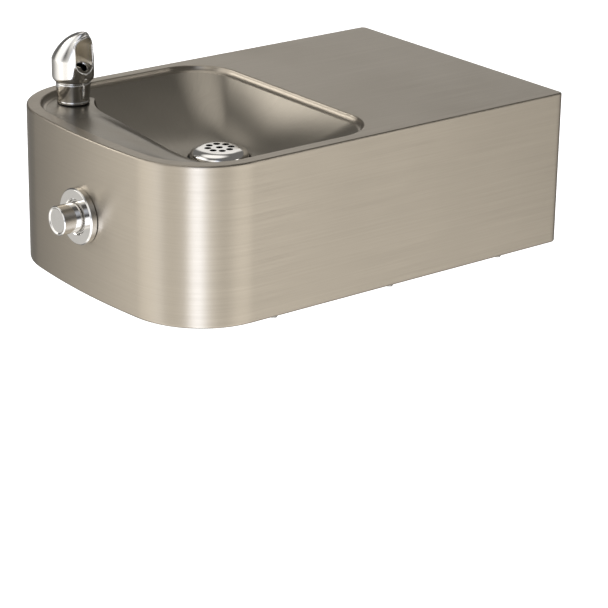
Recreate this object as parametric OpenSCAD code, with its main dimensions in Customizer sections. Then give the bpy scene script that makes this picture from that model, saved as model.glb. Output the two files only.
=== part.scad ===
// Wall-hung outdoor drinking fountain in stainless sheet: bowed apron, pressed basin with a swirl
// shelf, hooded bubbler, pneumatic push button, waste and the three pipes that leave through the wall.
// Origin: on the wall plane, at the middle of the four bolts. X runs to the right of a user who faces
// the wall, Y into the wall, Z up. Lengths are in millimetres.

/* [Body] */
// Width of the fountain
body_w = 318; // [300:2:350]
// Distance from the wall to the middle of the bowed front
body_l = 476; // [460:2:510]
// Height from the bottom edge of the apron to the deck
body_h = 159; // [152:1:180]
// Thickness of the stainless sheet
sheet = 2; // [1.6:0.1:2.2]
// Radius of the shallow bow across the front
bow_r = 800; // [600:10:1200]
// Radius of the two front corners
front_r = 82; // [70:1:92]
// Radius of the two bends at the wall
back_r = 6; // [5:0.5:9]
// Radius of the edge between deck and apron
edge_r = 3; // [2.5:0.5:4]
// Width of the flange folded inwards along the bottom
flange_w = 20; // [18:1:26]

/* [Basin] */
// Width of the deck left beside and in front of the basin
rim_w = 14; // [12:0.5:20]
// Length of the basin from front to back
basin_l = 238; // [225:1:255]
// Radius of the two back corners of the basin
basin_back_r = 48; // [36:1:60]
// Depth of the small wall from the deck down to the crease
basin_drop = 6; // [5:0.5:8]
// Height from the bottom edge of the apron to the drain, room for the waste
waste_room = 108; // [105:1:115]
// Distance from the front to the middle of the drain
drain_front = 163; // [155:1:172]
// Radius of the round recess that the strainer lies in
drain_r = 32; // [31:0.5:36]

/* [Bubbler] */
// Distance of the bubbler from the left side
bubbler_side = 44; // [41:1:50]
// Distance of the bubbler from the front
bubbler_front = 68; // [64:1:74]
// Height of the bubbler above its washer
bubbler_h = 67; // [60:1:75]
// Radius of the round neck
neck_r = 16.5; // [15:0.5:17.5]
// Radius of the hooded head
head_r = 20; // [18:0.5:22]
// Width of the window in the hood
window_w = 20; // [16:0.5:24]
// Turn of the window from straight across towards the wall, in degrees
aim = 12; // [0:1:30]
// Outer radius of the threaded shank
shank_r = 8.5; // [7:0.5:9.5]
// Length of the shank below the washer
shank_l = 36; // [32:1:42]

/* [Push button] */
// Outer radius of the escutcheon ring
ring_r = 28.5; // [27:0.5:34]
// Height of the ring off the front
ring_t = 7; // [6:0.5:9]
// Radius of the knob
knob_r = 14.5; // [13:0.5:15]
// How far the knob stands out from the front
knob_out = 28; // [24:1:34]
// Travel of the knob
travel = 5; // [3:0.5:6]
// Radius of the stem
stem_r = 5; // [4:0.5:6]
// Radius of the air piston
piston_r = 12; // [10:0.5:13]

/* [Waste] */
// Outer radius of the waste pipe, inch and a quarter size
pipe_r = 15.875; // [15.5:0.125:16.5]
// Wall of the waste pipe
pipe_wall = 1.2; // [0.9:0.1:1.6]
// Bend radius of the waste pipe
bend_r = 30; // [26:1:34]
// Radius of the threaded barrel of the waste
barrel_r = 21; // [20:0.5:23]
// Radius of the domed strainer
strainer_r = 29.5; // [27:0.5:30]
// Height of the strainer dome
strainer_h = 11; // [9:0.5:14]
// Height of the waste pipe's axis above the bottom edge of the apron
arm_level = 32; // [31:0.5:34]
// Length of the waste pipe beyond the wall plane
waste_out = 60; // [40:5:90]

/* [Tubes] */
// Outer radius of the water tube, three-eighths size
tube_r = 4.76; // [4.5:0.01:5]
// Outer radius of the clear air tube
air_r = 4; // [3.5:0.1:4.5]
// Length of both tubes beyond the wall plane
tube_out = 50; // [30:5:90]

/* [Wall fixing] */
// Distance of the bolts from the sides
bolt_side = 32; // [30:1:44]
// Distance of the bolts from the deck and from the bottom edge
bolt_level = 29.5; // [27.5:0.5:34.5]
// Radius of the bolt holes
bolt_r = 5.5; // [5:0.25:6.5]
// Thickness of the carrier plate behind the apron
carrier_t = 3; // [3:0.5:5]

/* [Hidden] */

// Fineness of round shapes: small ones, pipes and turned parts, and the long bow
$fn = 64;
bow_fn = 256;
// Overrun of every cut, the gap of a running fit and the gap of a free hole
over = 1;
run_gap = 0.05;
free_gap = 0.4;

// Levels and places that several pieces share
top_z = body_h / 2;
base_z = -body_h / 2;
crease_z = top_z - basin_drop;
drain_z = base_z + waste_room;
basin_depth = crease_z - drain_z;
basin_back = body_l - rim_w - basin_l;
drain_y = drain_front - body_l;
bubbler_x = bubbler_side - body_w / 2;
bubbler_y = bubbler_front - body_l;
skirt = edge_r + 3 * sheet / 2;

// Plans: half width, back, front, bow radius, front corner radius, back corner radius
function body_plan(i) = [
    body_w / 2 - i, -i, i - body_l, bow_r - i, front_r - i, max(back_r / 3, back_r - i)
];
function basin_plan(i) = [
    body_w / 2 - rim_w - i, -basin_back - i, rim_w + i - body_l,
    bow_r - rim_w - i, front_r - rim_w - i, basin_back_r - i
];
function bow_y(p) = p[2] + p[3];
function corner_x(p) = p[0] - p[4];
function bow_half(p) = asin(corner_x(p) / (p[3] - p[4]));
function corner_y(p) = bow_y(p) - (p[3] - p[4]) * cos(bow_half(p));

// Area of a plan: straight part, rounded back corners, front corners and the bow between them
module plan_area(p) {
    cx = corner_x(p);
    cy = corner_y(p);
    reach_out = p[3] + p[4];
    tip = reach_out * [sin(bow_half(p)), -cos(bow_half(p))];
    translate([-p[0], cy]) square([2 * p[0], p[1] - p[5] - cy]);
    translate([p[5] - p[0], p[1] - p[5]]) square([2 * (p[0] - p[5]), p[5]]);
    for (s = [-1, 1]) {
        translate([s * (p[0] - p[5]), p[1] - p[5]]) circle(p[5]);
        translate([s * cx, cy]) circle(p[4]);
    }
    intersection() {
        translate([0, bow_y(p)]) circle(p[3], $fn = bow_fn);
        polygon([[-cx, cy], [-tip[0], bow_y(p) + tip[1]], [tip[0], bow_y(p) + tip[1]], [cx, cy]]);
    }
}

module plan_slab(p, z, h) {
    translate([0, 0, z]) linear_extrude(h) plan_area(p);
}

// Outline of a plan as points, against the clock from the right end of the wall side
back_steps = 6;
front_steps = 12;
bow_steps = 12;
function arc(c, r, a, b, n) = [for (k = [0:n]) let (t = a + (b - a) * k / n) c + r * [cos(t), sin(t)]];
function plan_outline(p) =
    let (
        half = bow_half(p), c = [corner_x(p), corner_y(p)], b = [p[0] - p[5], p[1] - p[5]],
        bow = arc([0, bow_y(p)], p[3], 270 - half, 270 + half, bow_steps)
    )
    concat(
        arc(b, p[5], 0, 90, back_steps), arc([-b[0], b[1]], p[5], 90, 180, back_steps),
        arc([-c[0], c[1]], p[4], 180, 270 - half, front_steps),
        [for (k = [1:bow_steps - 1]) bow[k]],
        arc(c, p[4], 270 + half, 360, front_steps)
    );
function raised(outline, z) = [for (q = outline) [q[0], q[1], z]];

// Shell through rings of equally many points: each ring is joined to the next, the last to the first
module ring_shell(rings) {
    n = len(rings[0]);
    m = len(rings);
    polyhedron(
        points = [for (r = rings, q = r) q],
        faces = [for (i = [0:m - 1], k = [0:n - 1], h = [0, 1])
            let (a = i * n, b = ((i + 1) % m) * n, l = (k + 1) % n)
            h == 0 ? [a + k, b + k, b + l] : [a + k, b + l, a + l]]
    );
}

// Holes through the back: four bolts, the waste pipe and two grommets
gasket_t = 1.2;
elbow_z = crease_z + gasket_t - shank_l - 1.9 * tube_r - sheet;
water_exit = [bubbler_x, elbow_z];
air_exit = [body_w / 4, 0];
waste_hole_r = pipe_r + 6 * free_gap + 3 * sheet / 2;
grommet_hole_r = tube_r + 2 * sheet;
arm_z = base_z + arm_level;
back_t = sheet + carrier_t;
groove = 0.5;
module back_holes() {
    for (x = [-1, 1], z = [-1, 1])
        back_hole([x * (body_w / 2 - bolt_side), z * (body_h / 2 - bolt_level)], bolt_r);
    back_hole([0, arm_z], waste_hole_r);
    back_hole(water_exit, grommet_hole_r);
    back_hole(air_exit, grommet_hole_r);
}
module back_hole(xz, r) {
    translate([xz[0], over, xz[1]]) rotate([90, 0, 0]) cylinder(h = back_t + 2 * over, r = r);
}

// Body

screw_inset = flange_w / 2 + edge_r / 2;
screw_shares = [0.15, 0.45, 0.75];
cover_inset = 2 * edge_r;
screw_r = 2.5;
nut_r = 2 * screw_r;
nut_h = 1.6 * screw_r;
head_h = 1.1 * screw_r;
screw_spots = concat(
    [for (s = [-1, 1], k = screw_shares) [s * (body_w / 2 - screw_inset), -k * body_l]],
    [[0, screw_inset - body_l], [body_w / 4, -screw_inset], [-body_w / 4, -screw_inset]]
);
module at_screws() {
    for (p = screw_spots) translate([p[0], p[1], base_z]) children();
}

module apron() {
    color([0.68, 0.64, 0.58]) difference() {
        plan_slab(body_plan(0), base_z, body_h - skirt);
        plan_slab(body_plan(sheet), base_z + sheet, body_h);
        plan_slab(body_plan(flange_w), base_z - over, sheet + 2 * over);
        back_holes();
        at_button() translate([0, 0, -over]) cylinder(h = sheet + 4 * over, r = panel_hole_r);
        at_screws() translate([0, 0, -over]) cylinder(h = sheet + 2 * over, r = screw_r + free_gap);
    }
}

// Deck: a plate with the opening of the basin, whose outer edge is rolled down into a short skirt
roll_turns = [90, 67.5, 45, 22.5, 0];
module deck() {
    under = edge_r - sheet;
    color([0.62, 0.58, 0.52]) ring_shell(concat(
        [raised(plan_outline(body_plan(0)), top_z - skirt)],
        [for (a = roll_turns) raised(
            plan_outline(body_plan(edge_r * (1 - sin(a)))), top_z - edge_r * (1 - cos(a)))],
        [for (t = [0, sheet]) raised(plan_outline(basin_plan(0)), top_z - t)],
        [for (a = [0, 45, 90]) raised(
            plan_outline(body_plan(edge_r - under * sin(a))), top_z - edge_r + under * cos(a))],
        [raised(plan_outline(body_plan(sheet)), top_z - skirt)]
    ));
}

module back_carrier() {
    w = body_w - 2 * (sheet + edge_r + back_r);
    h = body_h - 2 * (sheet + edge_r + back_r);
    r = 2 * edge_r;
    color([0.55, 0.53, 0.5]) difference() {
        translate([0, -sheet, 0]) rotate([90, 0, 0]) linear_extrude(carrier_t) {
            square([w - 2 * r, h], center = true);
            square([w, h - 2 * r], center = true);
            for (x = [-1, 1], y = [-1, 1]) translate([x * (w / 2 - r), y * (h / 2 - r)]) circle(r);
        }
        back_holes();
    }
}

module bottom_cover() {
    color([0.6, 0.57, 0.52]) difference() {
        plan_slab(body_plan(cover_inset), base_z - sheet, sheet);
        at_screws() translate([0, 0, -sheet - over])
            cylinder(h = sheet + 2 * over, r = screw_r + free_gap);
    }
}

// Button-head screws from below, with a hexagon socket
module cover_screws() {
    color([0.75, 0.74, 0.72]) at_screws() difference() {
        union() {
            translate([0, 0, -sheet]) cylinder(h = 2 * sheet + nut_h, r = screw_r);
            translate([0, 0, -sheet - head_h]) cylinder(h = head_h, r1 = 1.3 * screw_r, r2 = 1.9 * screw_r);
        }
        translate([0, 0, -sheet - head_h - over])
            cylinder(h = head_h / 2 + over, r = 0.7 * screw_r, $fn = 6);
    }
}

module weld_nuts() {
    color([0.6, 0.6, 0.6]) at_screws() translate([0, 0, sheet]) difference() {
        cylinder(h = nut_h, r = nut_r, $fn = 6);
        translate([0, 0, -over]) cylinder(h = nut_h + 2 * over, r = screw_r + run_gap);
    }
}

// Basin: one pressed sheet. Rings run from the welded flange under the deck over the small wall to
// the crease, and from the crease to the drain. The front part keeps the level of the crease as a
// shelf for the bubbler and falls to the drain as a ramp; behind the ridge the sheet drops at once
// into the deep part. The ridge is straight in plan, touches the drain ring and turns round the
// bubbler at its outer end.

basin_steps = 60;
ridge_wall_angle = 4;
ridge_angle = 299;
flare_angle = 12;
shelf_share = 0.64;
flare_shares = [0.6, 0.82];
ramp_angles = [35, 150];
deep_share = 1.6;
crease_in = 5;
lap_w = 8;
drain_floor = basin_drop - basin_drop / 6;
drain_hole_r = barrel_r + 3 * free_gap;
interior_shares = [
    1, 0.95, 0.88, 0.8, 0.72, 0.64, 0.56, 0.48, 0.4, 0.32, 0.24, 0.16, 0.09, 0.04, 0
];
wall_shares = [[0, 0], [0.24, 0.13], [0.42, 0.45], [0.62, 0.85]];

function smooth(a, b, x) = let (t = max(0, min(1, (x - a) / (b - a)))) t * t * (3 - 2 * t);
function mix(a, b, t) = a + (b - a) * t;

// Whether a point lies inside a plan
function within(p, q) =
    let (
        x = abs(q[0]), y = q[1], sy = q[1] - bow_y(p),
        bx = x - (p[0] - p[5]), by = y - (p[1] - p[5])
    )
    y > p[1] ? false
    : bx > 0 && by > 0 ? norm([bx, by]) < p[5]
    : y >= corner_y(p) ? x < p[0]
    : atan2(x, -sy) < bow_half(p) ? norm([x, sy]) < p[3]
    : norm([x - corner_x(p), y - corner_y(p)]) < p[4];

// Distance from the drain to the edge of a plan in direction a, by halving
function reach(p, a, lo = 0, hi = body_l, n = 20) =
    n == 0 ? (lo + hi) / 2
    : let (m = (lo + hi) / 2)
      within(p, [m * cos(a), drain_y + m * sin(a)]) ? reach(p, a, m, hi, n - 1)
      : reach(p, a, lo, m, n - 1);

// Direction of the ridge on the ring at share s of the way from the drain to the crease
crease_reach = reach(basin_plan(crease_in), 180 + atan2(-drain_y - basin_back, -bubbler_x));
function ring_reach(s) = mix(drain_r, norm([bubbler_x, bubbler_y - drain_y]) + neck_r, s);
function ridge_way(s) =
    ridge_angle - acos(min(1, drain_r / ring_reach(s)))
    - flare_angle * smooth(flare_shares[0], flare_shares[1], s);

// Fall below the crease: ramp on the shelf side, deep part elsewhere, t is the turn from the ridge
function basin_fall(s, t) =
    let (
        ramp = max(0, 1 - s / shelf_share),
        deep = 1 - pow(s, deep_share),
        share = 1 - smooth(ramp_angles[0], ramp_angles[1], t)
    )
    basin_depth * (t > 360 - ridge_wall_angle - 0.5 ? deep : mix(deep, ramp, share));

function turn(k) = (360 - ridge_wall_angle) * k / (basin_steps - 1);
function polar(a, r, z) = [r * cos(a), drain_y + r * sin(a), z];
function wall_ring(inset, z) = [
    for (k = [0:basin_steps - 1]) let (a = ridge_way(1) + turn(k))
        polar(a, reach(basin_plan(inset), a), z)
];
function bowl_ring(s, low) = [
    for (k = [0:basin_steps - 1]) let (a = ridge_way(s) + turn(k))
        polar(a, mix(drain_r, reach(basin_plan(crease_in), a), s),
            crease_z - basin_fall(s, turn(k)) - low)
];
function round_ring(r, z) = [
    for (k = [0:basin_steps - 1]) polar(ridge_way(0) + turn(k), r, z)
];
function basin_skin(low) = concat(
    [wall_ring(-lap_w, top_z - sheet - low)],
    [for (w = wall_shares)
        wall_ring(crease_in * w[0] + free_gap + low / 2 * w[0],
            top_z - sheet - (basin_drop - sheet) * w[1] - low)],
    [for (s = interior_shares) bowl_ring(s, low)],
    [round_ring(drain_r - free_gap + low / 2, drain_z - drain_floor - low),
     round_ring(drain_hole_r, drain_z - drain_floor - low)]
);

module basin() {
    top = basin_skin(0);
    under = basin_skin(sheet);
    color([0.5, 0.47, 0.42]) difference() {
        ring_shell(concat(top, [for (i = [len(under) - 1:-1:0]) under[i]]));
        translate([bubbler_x, bubbler_y, crease_z - sheet - over])
            cylinder(h = sheet + 2 * over, r = shank_r + free_gap);
    }
}

// Bubbler

foot_r = neck_r + sheet;
seat_z = crease_z + gasket_t;
neck_share = 0.25;
dome_share = 0.6;
lean_share = 0.425;
window_low_share = 0.46;
window_high_share = 0.92;
nozzle_r = 6;
nozzle_l = 12;
nozzle_angle = 28;
nozzle_z = 0.34 * bubbler_h;
way_r = 3;
orifice_r = 2.2;
bubbler_sides = 32;

module at_bubbler(z = seat_z) {
    translate([bubbler_x, bubbler_y, z]) rotate(aim) children();
}
module at_nozzle() {
    translate([head_r / 10, 0, nozzle_z]) rotate([0, nozzle_angle, 0]) children();
}

// One ring of the bubbler: height, radius and shift towards the window
foot_rings = [
    [0, foot_r, 0], [gasket_t, foot_r - sheet / 5, 0], [1.5 * sheet, neck_r + sheet / 4, 0],
    [2.5 * sheet, neck_r, 0], [neck_share * bubbler_h, neck_r, 0]
];
shoulder_rings = [
    for (a = [30:30:90]) [
        bubbler_h * (neck_share + 0.1 * (1 - cos(a))), mix(neck_r, head_r, sin(a)), 0
    ]
];
dome_rings = [
    for (t = [0:0.1:0.9]) let (r = head_r * cos(90 * t)) [
        bubbler_h * mix(dome_share, 1, sin(90 * t)), r, (head_r - r) * (1 - lean_share * pow(t, 6))
    ]
];
tip_ring = [bubbler_h, head_r / 12, head_r * (1 - lean_share)];

module bubbler_hull() {
    rings = concat(foot_rings, shoulder_rings, dome_rings, [tip_ring]);
    n = bubbler_sides;
    m = len(rings);
    polyhedron(
        points = [for (r = rings, k = [0:n - 1])
            [r[2] + r[1] * cos(360 * k / n), r[1] * sin(360 * k / n), r[0]]],
        faces = concat(
            [[for (k = [0:n - 1]) k]],
            [for (i = [0:m - 2], k = [0:n - 1], h = [0, 1]) h == 0
                ? [i * n + k, (i + 1) * n + k, (i + 1) * n + (k + 1) % n]
                : [i * n + k, (i + 1) * n + (k + 1) % n, i * n + (k + 1) % n]],
            [[for (k = [n - 1:-1:0]) (m - 1) * n + k]]
        )
    );
}

// The tall window with round ends, cut from the front of the hood to behind its middle
module window_cut() {
    low = window_low_share * bubbler_h;
    high = window_high_share * bubbler_h;
    translate([-head_r / 4, 0, 0]) rotate([90, 0, 90]) linear_extrude(2 * head_r) {
        translate([0, low + window_w / 2]) circle(window_w / 2);
        translate([0, high - window_w / 2]) circle(window_w / 2);
        translate([-window_w / 2, low + window_w / 2]) square([window_w, high - low - window_w]);
    }
}

module bubbler_head() {
    color([0.85, 0.84, 0.82]) at_bubbler() difference() {
        union() {
            bubbler_hull();
            translate([0, 0, -shank_l]) cylinder(h = shank_l, r = shank_r);
        }
        window_cut();
        translate([0, 0, -shank_l - over]) cylinder(h = shank_l + nozzle_z + over, r = way_r);
        at_nozzle() cylinder(h = 2 * nozzle_l, r = nozzle_r + run_gap);
    }
}

// Turned insert with a cupped mouth and the orifice of the stream
module bubbler_nozzle() {
    color([0.8, 0.72, 0.5]) at_bubbler() at_nozzle() rotate_extrude() polygon([
        [orifice_r, 0], [nozzle_r, 0], [nozzle_r, nozzle_l - orifice_r / 4],
        [nozzle_r - orifice_r / 4, nozzle_l], [nozzle_r - orifice_r / 2, nozzle_l],
        [orifice_r, nozzle_l - orifice_r]
    ]);
}

module ring_of(r_out, r_in, h) {
    difference() {
        cylinder(h = h, r = r_out);
        translate([0, 0, -over]) cylinder(h = h + 2 * over, r = r_in);
    }
}

module hex_of(r_out, r_in, h) {
    difference() {
        cylinder(h = h, r = r_out, $fn = 6);
        translate([0, 0, -over]) cylinder(h = h + 2 * over, r = r_in);
    }
}

bubbler_nut_h = shank_r;
washer_t = sheet;
under_z = crease_z - sheet;
module bubbler_gasket() {
    color([0.12, 0.12, 0.12]) at_bubbler(crease_z) ring_of(foot_r - gasket_t / 3, shank_r + run_gap, gasket_t);
}
module bubbler_washer() {
    color([0.7, 0.7, 0.68]) at_bubbler(under_z - washer_t) ring_of(neck_r, shank_r + run_gap, washer_t);
}
module bubbler_nut() {
    color([0.72, 0.6, 0.32]) at_bubbler(under_z - washer_t - bubbler_nut_h)
        hex_of(1.75 * shank_r, shank_r + run_gap, bubbler_nut_h);
}

// Push-fit elbow under the shank, its collet and the water tube

elbow_r = 1.45 * shank_r;
elbow_grip = shank_r;
arm_r = 1.9 * tube_r;
arm_l = 2.2 * elbow_r;
elbow_top = seat_z - shank_l + elbow_grip;
collet_l = tube_r;
insert_l = 3 * tube_r;
tube_wall = tube_r / 3;

module tube_elbow() {
    color([0.55, 0.56, 0.57]) translate([bubbler_x, bubbler_y, 0]) difference() {
        union() {
            translate([0, 0, elbow_z - arm_r]) cylinder(h = elbow_top - elbow_z + arm_r, r = elbow_r);
            translate([0, 0, elbow_z]) rotate([-90, 0, 0]) cylinder(h = arm_l, r = arm_r);
        }
        translate([0, 0, elbow_top - elbow_grip]) cylinder(h = elbow_grip + over, r = shank_r + run_gap);
        translate([0, 0, elbow_z]) cylinder(h = elbow_top - elbow_z, r = way_r);
        translate([0, 0, elbow_z]) rotate([-90, 0, 0]) cylinder(h = arm_l + over, r = way_r);
        translate([0, arm_l - insert_l, elbow_z]) rotate([-90, 0, 0])
            cylinder(h = insert_l + over, r = tube_r + run_gap);
        translate([0, arm_l - collet_l, elbow_z]) rotate([-90, 0, 0])
            cylinder(h = collet_l + over, r = tube_r * 1.4);
    }
}

module elbow_collet() {
    color([0.8, 0.8, 0.8]) translate([bubbler_x, bubbler_y + arm_l - collet_l, elbow_z])
        rotate([-90, 0, 0]) difference() {
            union() {
                cylinder(h = collet_l + tube_wall, r = tube_r * 1.4 - run_gap);
                translate([0, 0, collet_l + tube_wall / 2]) cylinder(h = tube_wall, r = tube_r * 1.7);
            }
            translate([0, 0, -over]) cylinder(h = collet_l + 3 * tube_wall + over, r = tube_r + run_gap);
        }
}

module pipe_run(l, r, wall) {
    ring_of(r, r - wall, l);
}
// Pipe along Y that passes through the back: a shallow groove there holds the grommet
module pipe_through(from, to, r, wall) {
    rotate([-90, 0, 0]) rotate_extrude() polygon([
        [r - wall, from], [r, from], [r, -back_t], [r - groove, -back_t], [r - groove, sheet],
        [r, sheet], [r, to], [r - wall, to]
    ]);
}
// Quarter or part bend that starts at the origin along +Z and turns towards +X
module pipe_turn(bend, a, r, wall) {
    translate([bend, 0, 0]) rotate([90, 0, 180]) rotate_extrude(angle = a)
        translate([bend, 0]) difference() {
            circle(r, $fn = 48);
            circle(r - wall, $fn = 48);
        }
}

// The tube runs straight from the elbow through the back
module water_tube() {
    start = bubbler_y + arm_l - insert_l + run_gap;
    color([0.92, 0.92, 0.9]) translate([bubbler_x, 0, elbow_z])
        pipe_through(start, tube_out, tube_r, tube_wall);
}

// Rubber grommets that seat the pipe and both tubes in the back: flush with the wall plane, with a
// bead in the groove of the pipe and a lip inside the body
module grommet(xz, r, hole_r) {
    lip = sheet;
    translate([xz[0], 0, xz[1]]) rotate([90, 0, 0]) rotate_extrude() polygon([
        [r - groove + run_gap, run_gap], [hole_r - run_gap, run_gap], [hole_r - run_gap, back_t + run_gap],
        [hole_r + lip, back_t + run_gap], [hole_r + lip, back_t + lip], [r + run_gap, back_t + lip],
        [r + run_gap, back_t - run_gap], [r - groove + run_gap, back_t - run_gap]
    ]);
}
module back_grommets() {
    color([0.1, 0.1, 0.1]) {
        grommet(water_exit, tube_r, grommet_hole_r);
        grommet(air_exit, air_r, grommet_hole_r);
        grommet([0, arm_z], pipe_r, waste_hole_r);
    }
}

// Push button: everything on one axis, level zero on the face of the front, positive inwards

sleeve_r = knob_r + 2.7;
panel_hole_r = sleeve_r + free_gap;
collar_r = sleeve_r + 4.6;
collar_t = 0.36 * ring_t;
ring_step = ring_t - 3 * run_gap - collar_t;
washer_r = collar_r + 3;
inner_face = sheet + washer_r * washer_r / (2 * bow_r) + run_gap;
button_washer_t = 1.6;
button_nut_h = 6;
guide_z = 14;
guide_t = 4;
sleeve_end = guide_z + guide_t + 4;
skirt_end = guide_z - travel - free_gap;
knob_wall = knob_r / 4.5;
clip_t = 1.2;
clip_z = guide_z + guide_t + free_gap;
piston_z = sleeve_end + guide_t;
piston_l = 10;
stem_end = piston_z + piston_l;
screw_head = 3;
cylinder_end = stem_end + travel + screw_head + guide_t / 2;
wire_r = 0.8;
spring_r = (stem_r + knob_r - knob_wall) / 2;
spring_curls = 8;
spring_rings = 8;
spring_sides = 6;

module at_button() {
    translate([0, -body_l, 0]) rotate([-90, 0, 0]) children();
}

module button_gasket() {
    color([0.12, 0.12, 0.12]) at_button() translate([0, 0, -gasket_t])
        ring_of(ring_r - gasket_t, panel_hole_r, gasket_t);
}

// Turned ring with a chamfered front and an inner ledge for the collar of the sleeve
module escutcheon() {
    ledge = ring_step;
    color([0.78, 0.77, 0.75]) at_button() rotate_extrude($fn = 96) polygon([
        [panel_hole_r, -gasket_t], [ring_r, -gasket_t], [ring_r, gasket_t - ring_t],
        [ring_r - gasket_t, -ring_t], [collar_r + run_gap, -ring_t],
        [collar_r + run_gap, -ledge], [panel_hole_r, -ledge]
    ]);
}

// Flanged sleeve: collar in front, threaded barrel through the front, guide and shoulder for the stem
module button_sleeve() {
    color([0.74, 0.72, 0.68]) at_button() difference() {
        union() {
            translate([0, 0, -ring_step - collar_t]) cylinder(h = collar_t, r = collar_r);
            translate([0, 0, -ring_step]) cylinder(h = ring_step + sleeve_end, r = sleeve_r);
        }
        translate([0, 0, -ring_t]) cylinder(h = ring_t - free_gap, r = knob_r + sheet);
        translate([0, 0, -ring_t]) cylinder(h = ring_t + guide_z, r = knob_r + run_gap);
        translate([0, 0, guide_z - over]) cylinder(h = guide_t + 2 * over, r = stem_r + run_gap);
        translate([0, 0, guide_z + guide_t]) cylinder(h = sleeve_end, r = piston_r + 2 * run_gap);
    }
}

module button_washer() {
    color([0.7, 0.7, 0.68]) at_button() translate([0, 0, inner_face])
        ring_of(washer_r, sleeve_r + run_gap, button_washer_t);
}
module button_nut() {
    color([0.72, 0.6, 0.32]) at_button() translate([0, 0, inner_face + button_washer_t])
        hex_of(washer_r + sheet, sleeve_r + run_gap, button_nut_h);
}

// Knob: hollow cap with a dished face and a stem that carries the piston
module push_knob() {
    rim = knob_r / 8;
    color([0.82, 0.81, 0.79]) at_button() difference() {
        union() {
            rotate_extrude($fn = 96) polygon([
                [0, rim / 2 - knob_out], [knob_r - 2 * rim, rim / 2 - knob_out],
                [knob_r - 1.5 * rim, -knob_out], [knob_r - rim / 2, -knob_out],
                [knob_r, rim / 2 - knob_out], [knob_r, skirt_end],
                [knob_r - knob_wall, skirt_end], [knob_r - knob_wall, 2 * knob_wall - knob_out],
                [0, 2 * knob_wall - knob_out]
            ]);
            translate([0, 0, knob_wall - knob_out]) cylinder(h = knob_out - knob_wall + stem_end, r = stem_r);
        }
        translate([0, 0, clip_z]) ring_of(knob_r, 0.8 * stem_r, clip_t + run_gap);
        translate([0, 0, stem_end - 2 * screw_head]) cylinder(h = 2 * screw_head + over, r = stem_r / 2);
    }
}

// Helical wire: one unbroken tube, each ring set square to the run of the wire
spring_low = 2 * knob_wall - knob_out + wire_r + run_gap;
spring_high = guide_z - wire_r - run_gap;
function spring_point(u, a) =
    let (
        w = 360 * spring_curls * u,
        pitch = (spring_high - spring_low) / spring_curls,
        lift = atan2(pitch, 2 * PI * spring_r),
        out = wire_r * cos(a), up = wire_r * sin(a)
    )
    [
        (spring_r + out) * cos(w) + up * sin(lift) * sin(w),
        (spring_r + out) * sin(w) - up * sin(lift) * cos(w),
        mix(spring_low, spring_high, u) + up * cos(lift)
    ];
module return_spring() {
    m = spring_curls * spring_rings;
    n = spring_sides;
    echo(spring_gap = (spring_high - spring_low) / spring_curls - 2 * wire_r);
    color([0.6, 0.6, 0.62]) at_button() polyhedron(
        points = [for (i = [0:m], k = [0:n - 1]) spring_point(i / m, 360 * k / n)],
        faces = concat(
            [for (k = [1:n - 2]) [0, k, k + 1]],
            [for (i = [0:m - 1], k = [0:n - 1], h = [0, 1]) h == 0
                ? [i * n + k, (i + 1) * n + k, (i + 1) * n + (k + 1) % n]
                : [i * n + k, (i + 1) * n + (k + 1) % n, i * n + (k + 1) % n]],
            [for (k = [1:n - 2]) [m * n, m * n + k + 1, m * n + k]]
        )
    );
}

// Snap ring in the groove of the stem, open on one side
module stem_clip() {
    color([0.5, 0.5, 0.52]) at_button() translate([0, 0, clip_z + run_gap / 2]) difference() {
        ring_of(1.6 * stem_r, 0.8 * stem_r + run_gap, clip_t);
        translate([-0.6 * stem_r, 0, -over]) cube([1.2 * stem_r, 2 * stem_r, clip_t + 2 * over]);
    }
}

piston_groove = piston_r / 10;
module air_piston() {
    color([0.88, 0.88, 0.86]) at_button() difference() {
        translate([0, 0, piston_z]) cylinder(h = piston_l, r = piston_r);
        translate([0, 0, piston_z - over]) cylinder(h = piston_l + 2 * over, r = stem_r + run_gap);
        translate([0, 0, piston_z + piston_l / 2 - piston_groove])
            ring_of(piston_r + over, piston_r - 2 * piston_groove, 2 * piston_groove);
    }
}
module piston_ring() {
    color([0.1, 0.1, 0.1]) at_button() translate([0, 0, piston_z + piston_l / 2])
        rotate_extrude() translate([piston_r + run_gap - piston_groove + run_gap / 2, 0])
            circle(piston_groove - run_gap, $fn = 24);
}
// Screw and washer in one that hold the piston on the stem
module piston_screw() {
    color([0.6, 0.6, 0.62]) at_button() {
        translate([0, 0, stem_end - 2 * screw_head + run_gap])
            cylinder(h = 2 * screw_head, r = stem_r / 2 - run_gap);
        translate([0, 0, stem_end]) cylinder(h = screw_head, r = 1.5 * stem_r, $fn = 6);
    }
}

// Moulded air cylinder screwed over the end of the sleeve
module air_cylinder() {
    cup_r = sleeve_r + sheet;
    bore_r = piston_r + 2 * run_gap;
    cup_low = inner_face + button_washer_t + button_nut_h + free_gap;
    body_r = bore_r + sheet;
    color([0.2, 0.2, 0.21]) at_button() difference() {
        rotate_extrude() polygon([
            [0, cup_low], [cup_r, cup_low], [cup_r, sleeve_end], [body_r, piston_z],
            [body_r, cylinder_end + sheet], [0, cylinder_end + sheet]
        ]);
        translate([0, 0, cup_low - over]) cylinder(h = sleeve_end - cup_low + over, r = sleeve_r + run_gap);
        translate([0, 0, cup_low - over]) cylinder(h = cylinder_end - cup_low + over, r = bore_r);
        translate([0, 0, cylinder_end - over]) cylinder(h = sheet + 2 * over, r = air_r / 3);
    }
}

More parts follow.
